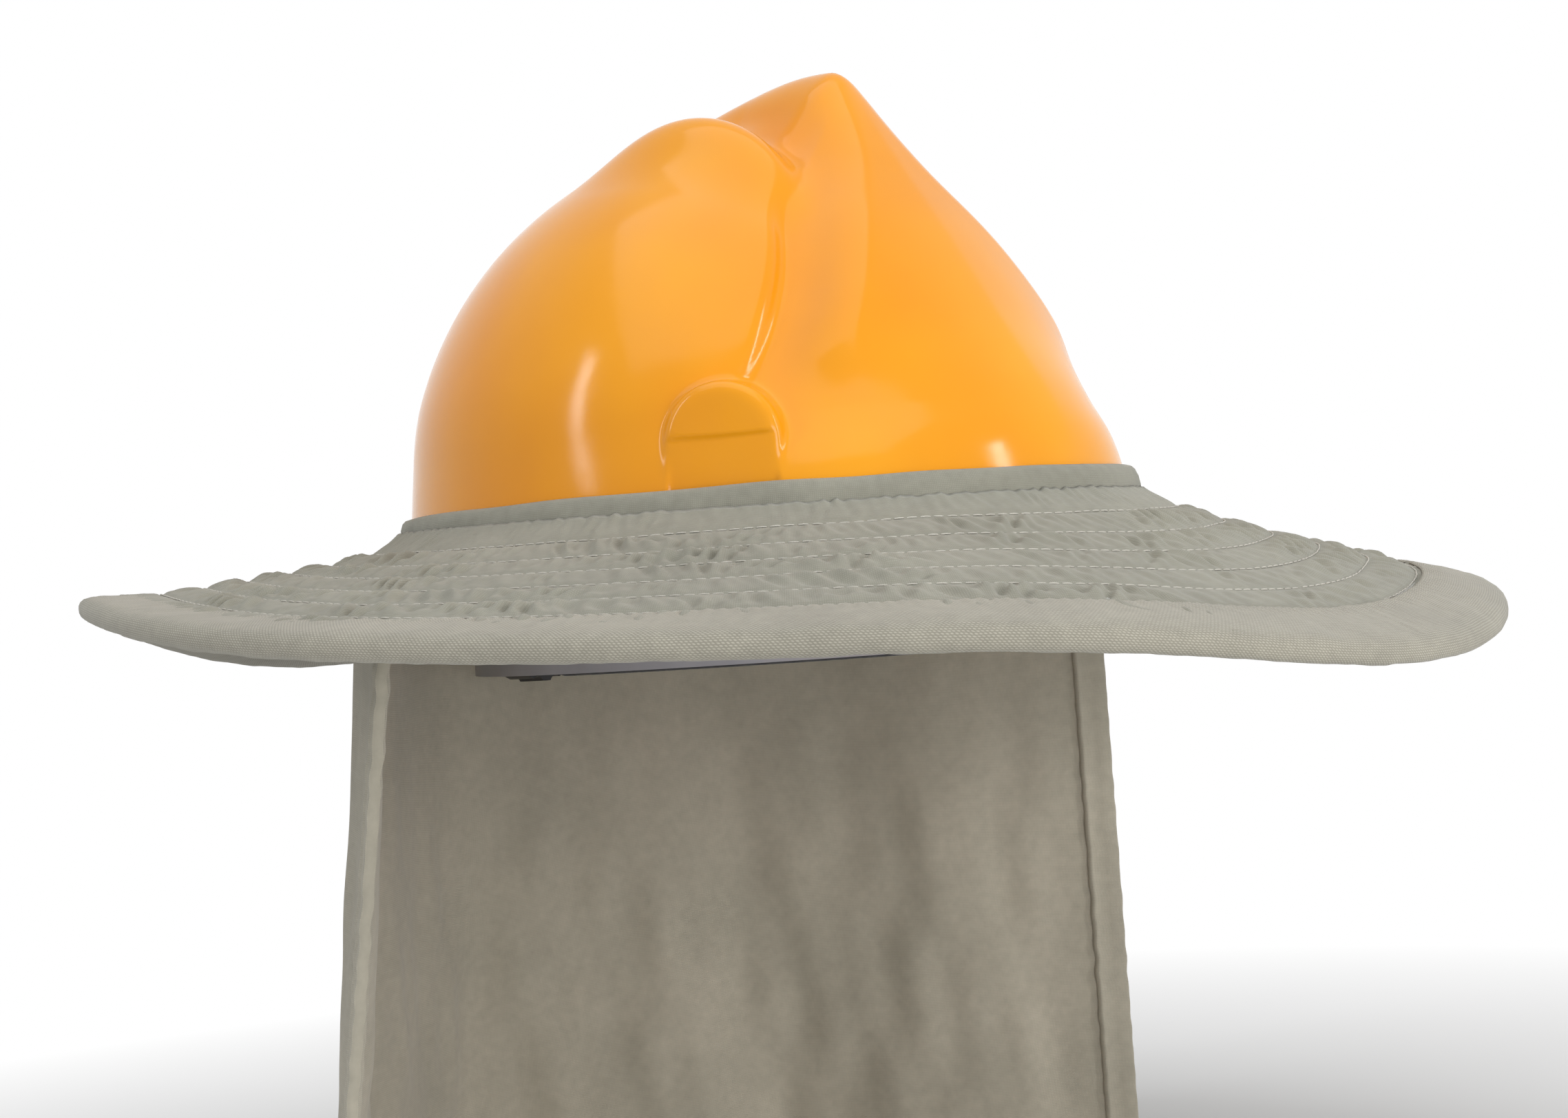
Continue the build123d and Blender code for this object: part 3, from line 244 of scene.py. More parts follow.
def join_boss(side, f, z, body, turn, high, half, soft):
    """Joins an arched boss to the shell's side, with a shallow recess in the taller one."""
    a = math.radians(turn)
    foot = (SIDE * math.sin(a), LONG * math.cos(a))
    n = np.array([foot[0] / SIDE**2, foot[1] / LONG**2])
    n = n / np.linalg.norm(n)
    out = (side - foot[0]) * n[0] + (f - foot[1]) * n[1]
    along = -(side - foot[0]) * n[1] + (f - foot[1]) * n[0]
    arch = np.sqrt(along**2 + np.maximum(z - (high - half), 0) ** 2) - half
    body = blend_min(body, blend_max(out + BOSS_STAND, arch * BOSS_ARCH, BOSS_EDGE), soft)
    if high > RECESS_TOP:
        step = np.maximum(np.abs(along) - RECESS_HALF, z - RECESS_TOP)
        body = blend_max(body, -np.maximum(-(out + RECESS_DEPTH), step), RECESS_EDGE)
    return body


def shell_gap(x, f, z):
    """About how far a point is outside the shell's outer face, in mm."""
    side = np.abs(x)
    soft_side = np.sqrt(side**2 + 4.0) - 2.0
    bend = smooth_line(z, RIDGE_LEVELS, PANEL_BENDS)
    width = smooth_line(z, RIDGE_LEVELS, RIDGE_HALVES)
    valley = smooth_line(z, RIDGE_LEVELS, VALLEY_PLACES)
    # Dome, with a valley beside the crest
    radii = (SIDE, np.where(f > 0, DOME_FRONT, DOME_BACK), DOME_RISE)
    dome = ellipsoid_gap(x, f, z, radii, (0, 0, GIRTH))
    dent = np.exp(-(((side - valley) / VALLEY_WIDTH) ** 2))
    dent = dent * ramp(f, *VALLEY_FORWARD) * ramp(z, *VALLEY_UP)
    dome = dome + VALLEY_DEPTH * dent
    # Crest: a raked panel in front, an arc over the top, and a keel to the back
    panel = PANEL_FORWARD * (f - PANEL_FOOT[0] + bend * side**2)
    panel = panel + PANEL_UP * (z - PANEL_FOOT[1]) + PANEL_FALL * soft_side
    arc = np.sqrt((f - CREST_CENTRE[0]) ** 2 + (z - CREST_CENTRE[1]) ** 2) - CREST_RADIUS
    keel = ellipsoid_gap(x, f, z, KEEL_RADII, (0, 0, GIRTH))
    lid = blend_max(panel, blend_min(arc + CREST_FALL * soft_side, keel, JOIN_TOP), JOIN_LID)
    backward = np.clip((KEEL_FROM - f) / KEEL_RUN, 0, 1)
    width = width * (1 - backward) + np.minimum(width, KEEL_HALF) * backward
    lean = FLANK_LEAN + FLANK_TOP_LEAN * ramp(z, *FLANK_TOP)
    flank = (side - width + lean * np.minimum(lid, 0)) * FLANK_GROWTH
    girth = (np.sqrt((x / SIDE) ** 2 + (f / LONG) ** 2) - 1) * MEAN_GIRTH
    rise = (z - GIRTH) / SKIRT_RISE
    outwards = np.clip(side / SKIRT_SIDE, 0, 1) ** SKIRT_POWER
    skirt = girth + SKIRT_REACH * np.clip(rise, 0, 1) * outwards
    crest = blend_max(blend_max(lid, flank, JOIN_FLANK), skirt, JOIN_SKIRT)
    body = blend_min(dome, crest, JOIN_CREST)
    for x0 in (-RIB_SIDE, RIB_SIDE):
        rib = ellipsoid_gap(x, f, z, RIB_RADII, (x0, RIB_FORWARD, RIB_LEVEL))
        body = blend_min(body, rib, JOIN_RIB)
    body = blend_min(body, girth + FLARE_SLOPE * rise + FLARE_CURVE * rise**2, JOIN_FLARE)
    for boss in BOSSES:
        body = join_boss(side, f, z, body, *boss)
    return blend_max(body, girth, JOIN_GIRTH)


def shell_surface(count, inset):
    """A square grid of points over the shell's face, from its top to its girth at the border."""
    s = np.linspace(-1, 1, count)
    s, t = np.meshgrid(s, s, indexing="ij")
    px, pf = s * np.sqrt(1 - t**2 / 2), t * np.sqrt(1 - s**2 / 2)
    radius = np.clip(np.sqrt(px**2 + pf**2), 0, 1)
    turn = np.arctan2(px, pf)
    lift = (1 - radius) * math.pi / 2
    d = np.stack([np.sin(turn) * np.cos(lift), np.cos(turn) * np.cos(lift), np.sin(lift)], -1)
    low, high = np.full(radius.shape, RAY_NEAR), np.full(radius.shape, RAY_FAR)
    for _ in range(RAY_STEPS):
        mid = (low + high) / 2
        p = d * mid[..., None]
        outside = shell_gap(p[..., 0], p[..., 1], p[..., 2] + GIRTH) + inset > 0
        high = np.where(outside, mid, high)
        low = np.where(outside, low, mid)
    p = d * low[..., None]
    return np.stack([p[..., 0], -p[..., 1], p[..., 2] + GIRTH], -1)


def border(count):
    """Indices of a square grid's border, once round."""
    first = [(i, 0) for i in range(count)]
    second = [(count - 1, j) for j in range(1, count)]
    third = [(i, count - 1) for i in range(count - 2, -1, -1)]
    fourth = [(0, j) for j in range(count - 2, 0, -1)]
    return [i * count + j for i, j in first + second + third + fourth]


def build_shell():
    """The shell's skin: an outer and an inner face, with the wall and rolled rim that join them."""
    count = 301
    outer = shell_surface(count, 0.0)
    inner = shell_surface(count, WALL)
    ring = border(count)
    verts = [outer.reshape(-1, 3), inner.reshape(-1, 3)]
    faces = [grid_faces(count, count), grid_faces(count, count, start=count * count, flip=True)]
    total = 2 * count * count
    rim = outer.reshape(-1, 3)[ring]
    inside = inner.reshape(-1, 3)[ring]
    flange = RIM_FLANGE / MEAN_GIRTH
    profile = [
        (rim, 0.0, 46.0), (rim, 0.0, 36.0), (rim, 0.0, 31.6), (rim, 0.5, 30.6), (rim, 0.95, 30.2),
        (rim, 1.0, 29.4), (rim, 0.9, 28.3), (rim, 0.6, RIM), (inside, 0.0, RIM),
        (inside, 0.0, 31.0), (inside, 0.0, 40.0),
    ]
    rows = [np.array(ring)]
    for base, grow, level in profile:
        row = base.copy()
        row[:, :2] *= 1 + flange * grow
        row[:, 2] = level
        verts.append(row)
        rows.append(np.arange(total, total + len(ring)))
        total += len(ring)
    rows.append(np.array(ring) + count * count)
    for a, b in zip(rows[:-1], rows[1:]):
        a2, b2 = np.roll(a, -1), np.roll(b, -1)
        faces.append(np.stack([a, b, b2, a2], -1))
    piece = make_object("shell_skin", np.concatenate(verts), np.concatenate(faces))
    return recalc(piece)


def build_visor():
    """The shell's visor, which runs out forwards under the brim."""
    cols, rows = 81, 16
    sheets = []
    for drop in (0.0, WALL):
        points = np.zeros((rows, cols, 3))
        for j in range(cols):
            turn = (j / (cols - 1) - 0.5) * 2 * VISOR_TURN
            foot = np.array([SIDE * math.sin(turn), LONG * math.cos(turn)])
            fade = math.cos(turn / VISOR_TURN * math.pi / 2) ** VISOR_FADE
            for i in range(rows):
                t = i / (rows - 1)
                out = VISOR_REACH * fade * t
                n = foot / np.linalg.norm(foot)
                p = foot - n * (1 - t) * VISOR_LAP + n * out
                z = VISOR_LEVEL - VISOR_DROP * (out / VISOR_RUN) ** VISOR_CURVE - drop
                points[i, j] = (p[0], -p[1], z)
        sheets.append(points)
    top, bottom = sheets
    section = np.concatenate([top, bottom[::-1]], 0)
    loop = np.transpose(section, (1, 0, 2))
    return recalc(tube_object("shell_visor", loop, wrap_rows=False))


# Brim

def brim_curve(values, turn):
    """A smooth periodic reading of values given every 22.5 degrees from the front to the back."""
    full = list(values) + list(values[-2:0:-1])
    spectrum = np.fft.rfft(full)
    n = len(full)
    angle = np.asarray(turn) / TWO_PI
    total = np.full(np.shape(turn), spectrum[0].real / n)
    for k in range(1, len(spectrum)):
        weight = (1 if k == n // 2 else 2) * math.exp(-((k / 7.5) ** 4))
        total = total + weight * (spectrum[k].real / n) * np.cos(TWO_PI * k * angle)
    return total


def brim_place(turn, share):
    """Points on the brim's upper face, from the collar at share 0 to the edge at share 1."""
    turn, share = np.broadcast_arrays(np.asarray(turn, float), np.asarray(share, float))
    edge = brim_curve(EDGE_LEVELS, turn)
    sag = brim_curve(SAGS, turn)
    grow = COLLAR_OUT + COLLAR_GAP
    inner = np.stack([-(SIDE + grow) * np.sin(turn), -(LONG + grow) * np.cos(turn)], -1)
    outer = np.stack([-BRIM_SIDE * np.sin(turn), -BRIM_LONG * np.cos(turn) - BRIM_FORWARD], -1)
    plan = inner + (outer - inner) * share[..., None]
    level = SEAM + (edge - SEAM) * share - 4 * sag * share * (1 - share)
    return np.concatenate([plan, level[..., None]], -1)


def brim_span(turn):
    """The brim's width in plan."""
    a, b = brim_place(turn, 0.0), brim_place(turn, 1.0)
    return np.linalg.norm((b - a)[..., :2], axis=-1)


def pucker(share, arc):
    """Small ridges between the stitch rings, and a groove along each ring."""
    rings = np.array(RING_SHARES)
    gap = np.min(np.abs(share[..., None] - rings), -1)
    bay = np.searchsorted(rings, share.ravel()).reshape(share.shape)
    wide = np.clip(gap / 0.06, 0, 1)
    window = np.sin(wide * math.pi / 2) ** 1.2
    place = np.stack([arc, share * BRIM_WIDTH], -1)
    drift = smooth_noise(place, 30.0, 3) * 2.0 + smooth_noise(place, 90.0, 4) * 3.0
    fine = np.sin(arc / FINE_PUCKER[0] * TWO_PI + drift + bay * 1.9 + share * 30.0)
    coarse = np.sin(arc / COARSE_PUCKER[0] * TWO_PI + 1.7 * drift + bay * 2.3 - share * 22.0)
    strength = 0.35 + 0.65 * np.clip(smooth_noise(place, 70.0, 5) + 0.5, 0, 1.4)
    bays = np.where(bay == 0, 0.35, np.where(bay >= 6, 0.9, 1.0))
    ridge = (FINE_PUCKER[1] * fine + COARSE_PUCKER[1] * coarse) * window * strength * bays
    groove = -RING_GROOVE * np.exp(-((gap * BRIM_WIDTH) ** 2)) * (share < 0.85)
    puff = PUFF * window * (share < 0.9)
    return ridge + groove + puff


def cloth_rise(turn, share):
    """How far the upper cloth stands over the foam: up to the collar, and filled out at the back."""
    up = (COLLAR_RISE - FRONT_FALL * np.cos(turn)) * np.exp(-share * RISE_FADE)
    return up + BACK_FILL * share * (1 - share) * (1 - np.cos(turn))


def build_brim_cloth(name, lower):
    """The brim's lower or upper cloth, a thin closed sheet that follows the brim."""
    turns = 1440
    shares = np.linspace(0, 1, 100)
    turn = np.arange(turns) / turns * TWO_PI
    turn, share = np.meshgrid(turn, shares, indexing="ij")
    base = brim_place(turn, share)
    middle = brim_place(turn[:, :1], np.full_like(turn[:, :1], 0.6))
    steps = np.linalg.norm(np.roll(middle, -1, 0) - middle, axis=-1)
    arc = np.cumsum(steps, 0) - steps
    arc = np.broadcast_to(arc, turn.shape)
    if lower:
        gap = np.min(np.abs(share[..., None] - np.array(RING_SHARES)), -1)
        wave = smooth_noise(np.stack([arc, share * BRIM_WIDTH], -1), UNDER_WAVE[0], 9)
        lift = -BRIM_THICK + CLOTH + UNDER_WAVE[1] * wave
        lift = lift - UNDER_GROOVE * np.exp(-(gap * BRIM_WIDTH) ** 2)
    else:
        lift = pucker(share, arc) - CLOTH_SINK + cloth_rise(turn, share)
    face = base.copy()
    face[..., 2] += lift
    back = base.copy()
    back[..., 2] += lift - CLOTH
    piece = recalc(tube_object(name, np.concatenate([face, back[:, ::-1]], 1)))
    u = np.concatenate([arc, arc[:, ::-1]], 1)
    set_uv(piece, u, np.concatenate([share, share[:, ::-1]], 1) * BRIM_WIDTH)
    return piece


def build_binding():
    """The puffed, rolled band of twill round the brim's edge."""
    turns = 1200
    outside = [*BINDING_HALF, *[(d, -w) for d, w in BINDING_HALF[-2::-1]]]
    section = np.array([*outside, *BINDING_INSIDE])
    turn = np.arange(turns) / turns * TWO_PI
    span = brim_span(turn)
    edge = brim_place(turn, np.ones_like(turn))
    arc = np.cumsum(np.linalg.norm(np.roll(edge, -1, 0) - edge, axis=-1))
    arc = np.concatenate([[0], arc[:-1]])
    points = np.zeros((turns, len(section), 3))
    for j, (d, w) in enumerate(section):
        p = brim_place(turn, 1 + d / span)
        swell = 1.0
        if j < len(outside):
            place = np.stack([arc, np.full_like(arc, d * 2.0 + (60 if w < 0 else 0))], -1)
            swell = 1 + BINDING_SWELL[1] * smooth_noise(place, BINDING_SWELL[0], 11)
            swell = swell + BINDING_CREASE[1] * smooth_noise(place, BINDING_CREASE[0], 12)
            if BINDING_ROW[0] < d < BINDING_ROW[1]:
                drift = 2 * smooth_noise(place, 40, 13)
                swell = swell + BINDING_PUCKER[1] * np.sin(arc / BINDING_PUCKER[0] * TWO_PI + drift)
        p[:, 2] += -BRIM_THICK / 2 + w * swell
        points[:, j] = p
    piece = recalc(tube_object("brim_binding_twill", points))
    along = np.cumsum(np.concatenate([[0], np.linalg.norm(np.diff(section, axis=0), axis=1)]))
    set_uv(piece, arc[:, None], along[None])
    return piece


def read_line(where, place, points):
    """The point at a distance along a line of points whose own distances are in place."""
    return np.array([np.interp(where, place, points[:, k]) for k in range(3)])


def stitch_mesh(name, paths, radius, length, gap, lift):
    """Short capsules laid along paths of points, each a stitch of thread."""
    verts, faces = [], []
    sides = STITCH_SIDES
    rings = ((-0.5, 0.35), (-0.42, 0.85), (0.0, 1.0), (0.42, 0.85), (0.5, 0.35))
    for points, normals in paths:
        steps = np.linalg.norm(np.diff(points, axis=0), axis=1)
        place = np.concatenate([[0], np.cumsum(steps)])
        count = int(place[-1] / (length + gap))
        for index in range(count):
            jitter = rng.uniform(-STITCH_JITTER, STITCH_JITTER)
            a = (index + 0.5) * (length + gap) + jitter
            ends = [read_line(a + shift, place, points) for shift in (-length / 2, length / 2)]
            n = read_line(a, place, normals)
            n /= np.linalg.norm(n)
            along = ends[1] - ends[0]
            reach = np.linalg.norm(along)
            if reach < length * 0.5:
                continue
            along /= reach
            across = np.cross(n, along)
            drift = rng.uniform(-STITCH_DRIFT, STITCH_DRIFT)
            centre = (ends[0] + ends[1]) / 2 + n * lift + across * drift
            start = len(verts)
            for t, r in rings:
                sink = -abs(t) ** 3 * 3.2 * radius
                for k in range(sides):
                    a2 = TWO_PI * k / sides
                    verts.append(
                        centre + along * t * reach + n * (sink + radius * r * math.sin(a2))
                        + across * radius * r * math.cos(a2)
                    )
            for i in range(len(rings) - 1):
                for k in range(sides):
                    k2 = (k + 1) % sides
                    faces.append((start + i * sides + k, start + i * sides + k2,
                                  start + (i + 1) * sides + k2, start + (i + 1) * sides + k))
            faces.append(tuple(start + k for k in range(sides))[::-1])
            faces.append(tuple(start + (len(rings) - 1) * sides + k for k in range(sides)))
    return recalc(make_object(name, np.array(verts), faces))


def build_brim_stitches():
    """The six rings of stitching round the brim."""
    paths = []
    fine = np.linspace(0, TWO_PI, 1441)
    up = np.zeros((len(fine), 3))
    up[:, 2] = 1.0
    for share in RING_SHARES:
        wave = 0.0035 * smooth_noise(np.stack([fine * 150], -1), 60.0, int(share * 100))
        p = brim_place(fine, share + wave)
        p[:, 2] += cloth_rise(fine, share + wave) - RING_GROOVE - CLOTH_SINK + 0.34
        paths.append((p, up))
    return stitch_mesh("brim_stitching", paths, STITCH_RADIUS, STITCH_LENGTH, STITCH_GAP, STITCH_LIFT)


# Collar

def girth_line(turn, grow, level):
    """Points round the shell's girth, grown outwards, at a level."""
    return np.stack([-(SIDE + grow) * np.sin(turn), -(LONG + grow) * np.cos(turn), level + 0 * turn], -1)


def build_collar():
    """The cloth channel over the shell's girth, with its diagonal join and small gathers."""
    turns = 900
    section = COLLAR_SECTION
    turn = np.arange(turns) / turns * TWO_PI
    points = np.zeros((turns, len(section), 3))
    arc = turn * MEAN_RADIUS
    for j, (grow, level) in enumerate(section):
        place = np.stack([arc, np.full_like(arc, level * 3.0)], -1)
        outer = grow > 1.5
        gather = sum(
            height * smooth_noise(place, pitch, 21 + k) for k, (pitch, height) in enumerate(COLLAR_GATHERS)
        )
        seam = 0.0
        if outer:
            lean = (level - COLLAR_JOIN_LEVEL) * COLLAR_JOIN_LEAN
            beside = (turn - math.radians(COLLAR_JOIN_TURN) + lean) * MEAN_RADIUS
            edge, crease = np.exp(-((beside / 1.6) ** 2)), np.exp(-((beside - 2.4) / 1.1) ** 2)
            seam = COLLAR_JOIN_HEIGHT * (edge - crease)
        g = grow + (gather * (1.0 if outer else 0.2) + seam)
        z = level + (0.22 * smooth_noise(place[:, :1], 60.0, 23) if level > 50 else 0.0)
        points[:, j] = girth_line(turn, g, z)
    piece = recalc(tube_object("collar_cloth", points))
    across = np.cumsum([0] + [math.dist(a, b) for a, b in zip(section[:-1], section[1:])])
    set_uv(piece, arc[:, None], across[None])
    return piece


def ring_solid(name, inside, outside, low, high, turns=240):
    """A plain band round the shell between two growths and two levels."""
    turn = np.arange(turns) / turns * TWO_PI
    section = [(inside, low), (inside, high), (outside, high), (outside, low)]
    points = np.stack([girth_line(turn, grow, level) for grow, level in section], 1)
    return recalc(tube_object(name, points))


# Neck curtain

def curtain_plan(place, spread):
    """The curtain's plan at a share of the way from the right hem to the left hem."""
    half = CURTAIN_SIDE + spread
    back = CURTAIN_BACK + spread
    x = [-half * s for s in SIDE_SHARES] + [half * s for s in SIDE_SHARES[-2::-1]]
    y = []
    for flare, start in HEM_FRONTS:
        front = flare * spread + start
        y.append([front + (back - front) * b for b in BACK_SHARES])
    y = y[0] + y[1][-2::-1]
    knots = np.array([x, y]).T
    t = np.concatenate([[0], np.cumsum(np.linalg.norm(np.diff(knots, axis=0), axis=1))])
    t /= t[-1]
    fine = []
    m = np.gradient(knots, t, axis=0)
    for p in np.atleast_1d(place):
        i = min(max(np.searchsorted(t, p) - 1, 0), len(t) - 2)
        h = t[i + 1] - t[i]
        s = (p - t[i]) / h
        fine.append(
            (2 * s**3 - 3 * s**2 + 1) * knots[i] + (s**3 - 2 * s**2 + s) * h * m[i]
            + (-2 * s**3 + 3 * s**2) * knots[i + 1] + (s**3 - s**2) * h * m[i + 1]
        )
    return np.array(fine)


def plan_normal(place, spread):
    """The outward direction of the curtain's plan."""
    ahead = curtain_plan(np.clip(place + 0.002, 0, 1), spread)
    along = ahead - curtain_plan(np.clip(place - 0.002, 0, 1), spread)
    along /= np.linalg.norm(along, axis=1)[:, None]
    return np.stack([-along[:, 1], along[:, 0]], -1)


def under_brim(x, y):
    """The level of the brim's lower face over points of the plan, found by halving."""
    turn = np.arctan2(-x, -y)
    low, high = np.zeros_like(x), np.ones_like(x) * 1.05
    for _ in range(24):
        mid = (low + high) / 2
        p = brim_place(turn, mid)
        beyond = np.hypot(p[:, 0], p[:, 1]) > np.hypot(x, y)
        high = np.where(beyond, mid, high)
        low = np.where(beyond, low, mid)
    return brim_place(turn, low)[:, 2] - BRIM_THICK


def curtain_points(place, depth, out):
    """Points of the curtain. depth runs from 0 under the brim to 1 at the bottom; out is a growth."""
    place, depth = np.meshgrid(place, depth, indexing="ij")
    flat_place, flat_depth = place.ravel(), depth.ravel()
    top = under_brim(*curtain_plan(flat_place, 0.0).T) - CURTAIN_GAP
    level = top + (CURTAIN_LEVEL - top) * flat_depth
    share = np.clip((GIRTH - level) / (GIRTH - CURTAIN_LEVEL), 0, 1)
    lower = curtain_plan(flat_place, CURTAIN_SPREAD)
    upper = curtain_plan(flat_place, 0.0)
    base = upper + (lower - upper) * share[:, None]
    normal = plan_normal(flat_place, NORMAL_SPREAD)
    inner = np.sin(np.pi * np.clip(flat_place, 0, 1))
    big = FOLD_DEPTH * share * inner * np.cos(TWO_PI * FOLD_COUNT * flat_place)
    where = np.stack([flat_place * CURTAIN_LENGTH, flat_depth * 60], -1)
    hang = HANG_WAVE[1] * smooth_noise(where, HANG_WAVE[0], 31)
    hang = hang + HANG_CREASE[1] * smooth_noise(where * [1, 1.6], HANG_CREASE[0], 32)
    soft = np.clip(flat_depth * 1.5, 0, 1) * np.clip(inner * 4, 0.25, 1)
    drift = 2 * smooth_noise(where, 50, 33)
    gather = GATHER_HEIGHT * np.sin(flat_place * CURTAIN_LENGTH / GATHER_PITCH * TWO_PI + drift)
    wave = big + hang * soft + gather * np.exp(-flat_depth * GATHER_FADE)
    p = base + normal * (wave + out)[:, None]
    return np.stack([p[:, 0], p[:, 1], level], -1).reshape(*place.shape, 3)


def build_curtain():
    """The hanging cloth between its two front hems."""
    places = np.linspace(0.0025, 0.9975, 420)
    depths = np.linspace(0, 1, 120)
    inside, outside = [curtain_points(places, depths, out) for out in CURTAIN_CLOTH]
    section = np.concatenate([outside, inside[:, ::-1]], 1)
    piece = recalc(tube_object("curtain_cloth", section, wrap_rows=False))
    drops = np.concatenate([depths, depths[::-1]]) * CURTAIN_DROP
    set_uv(piece, (places * CURTAIN_LENGTH)[:, None], drops[None])
    return piece


def build_hem(name, left):
    """A turned-over front hem with a piped inner seam."""
    depths = np.linspace(0.004, 1, 110)
    rows = np.zeros((len(depths), len(HEM_SECTION), 3))
    for j, (d, out) in enumerate(HEM_SECTION):
        place = d / CURTAIN_LENGTH
        place = 1 - place if left else place
        rows[:, j] = curtain_points(np.array([place]), depths, out)[0]
    where = np.stack([depths * CURTAIN_DROP], -1)
    rows[:, :, 0] += (HEM_WAVE[1] * smooth_noise(where, HEM_WAVE[0], 41 + left))[:, None]
    piece = recalc(tube_object(name, rows, wrap_rows=False))
    set_uv(piece, (depths * CURTAIN_DROP)[:, None], np.array([d for d, _ in HEM_SECTION])[None])
    return piece


def build_tape():
    """The tape that joins the curtain's top to the brim's lower face."""
    places = np.linspace(0.004, 0.996, 300)
    points = np.zeros((len(places), len(TAPE_SECTION), 3))
    normal = plan_normal(places, 0.0)
    for j, (out, drop) in enumerate(TAPE_SECTION):
        p = curtain_plan(places, 0.0) + normal * out
        z = under_brim(p[:, 0], p[:, 1]) - drop
        points[:, j] = np.stack([p[:, 0], p[:, 1], z], -1)
    piece = recalc(tube_object("curtain_tape", points, wrap_rows=False))
    set_uv(piece, (places * CURTAIN_LENGTH)[:, None], np.array(TAPE_PLACES)[None])
    return piece


# Soft pieces of the suspension, grown from their CAD solids' own meshes

def copy_of(node, name, voxel=None, smooth=0):
    """A copy of a CAD solid's mesh, rounded by a remesh of the given voxel size."""
    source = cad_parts[node]
    mesh = source.data.copy()
    piece = bpy.data.objects.new(name, mesh)
    bpy.context.scene.collection.objects.link(piece)
    piece.matrix_world = source.matrix_world.copy()
    mesh.transform(piece.matrix_world)
    piece.matrix_world = Matrix.Identity(4)
    bpy.context.view_layer.update()
    if voxel:
        remesh = piece.modifiers.new("remesh", "REMESH")
        remesh.mode = "VOXEL"
        remesh.voxel_size = voxel
        soft = piece.modifiers.new("soft", "SMOOTH")
        soft.iterations = smooth
        soft.factor = 0.5
        depsgraph = bpy.context.evaluated_depsgraph_get()
        done = bpy.data.meshes.new_from_object(piece.evaluated_get(depsgraph))
        piece.modifiers.clear()
        piece.data = done
    piece.data.materials.clear()
    piece.data.shade_smooth()
    return piece


# Materials

CLOTH_SHEEN, CLOTH_FUZZ = 0.25, 0.08


def new_material(name):
    material = bpy.data.materials.new(name)
    material.use_nodes = True
    nodes = material.node_tree.nodes
    return material, nodes, material.node_tree.links, nodes["Principled BSDF"]


def add_node(nodes, kind, **values):
    node = nodes.new(kind)
    for key, value in values.items():
        if key in node.inputs:
            node.inputs[key].default_value = value
        else:
            setattr(node, key, value)
    return node


def colour_ramp(nodes, links, source, low, high, start=0.3, end=0.7):
    ramp = nodes.new("ShaderNodeValToRGB")
    ramp.color_ramp.elements[0].color = (*low, 1)
    ramp.color_ramp.elements[1].color = (*high, 1)
    ramp.color_ramp.elements[0].position = start
    ramp.color_ramp.elements[1].position = end
    links.new(source, ramp.inputs["Fac"])
    return ramp.outputs["Color"]


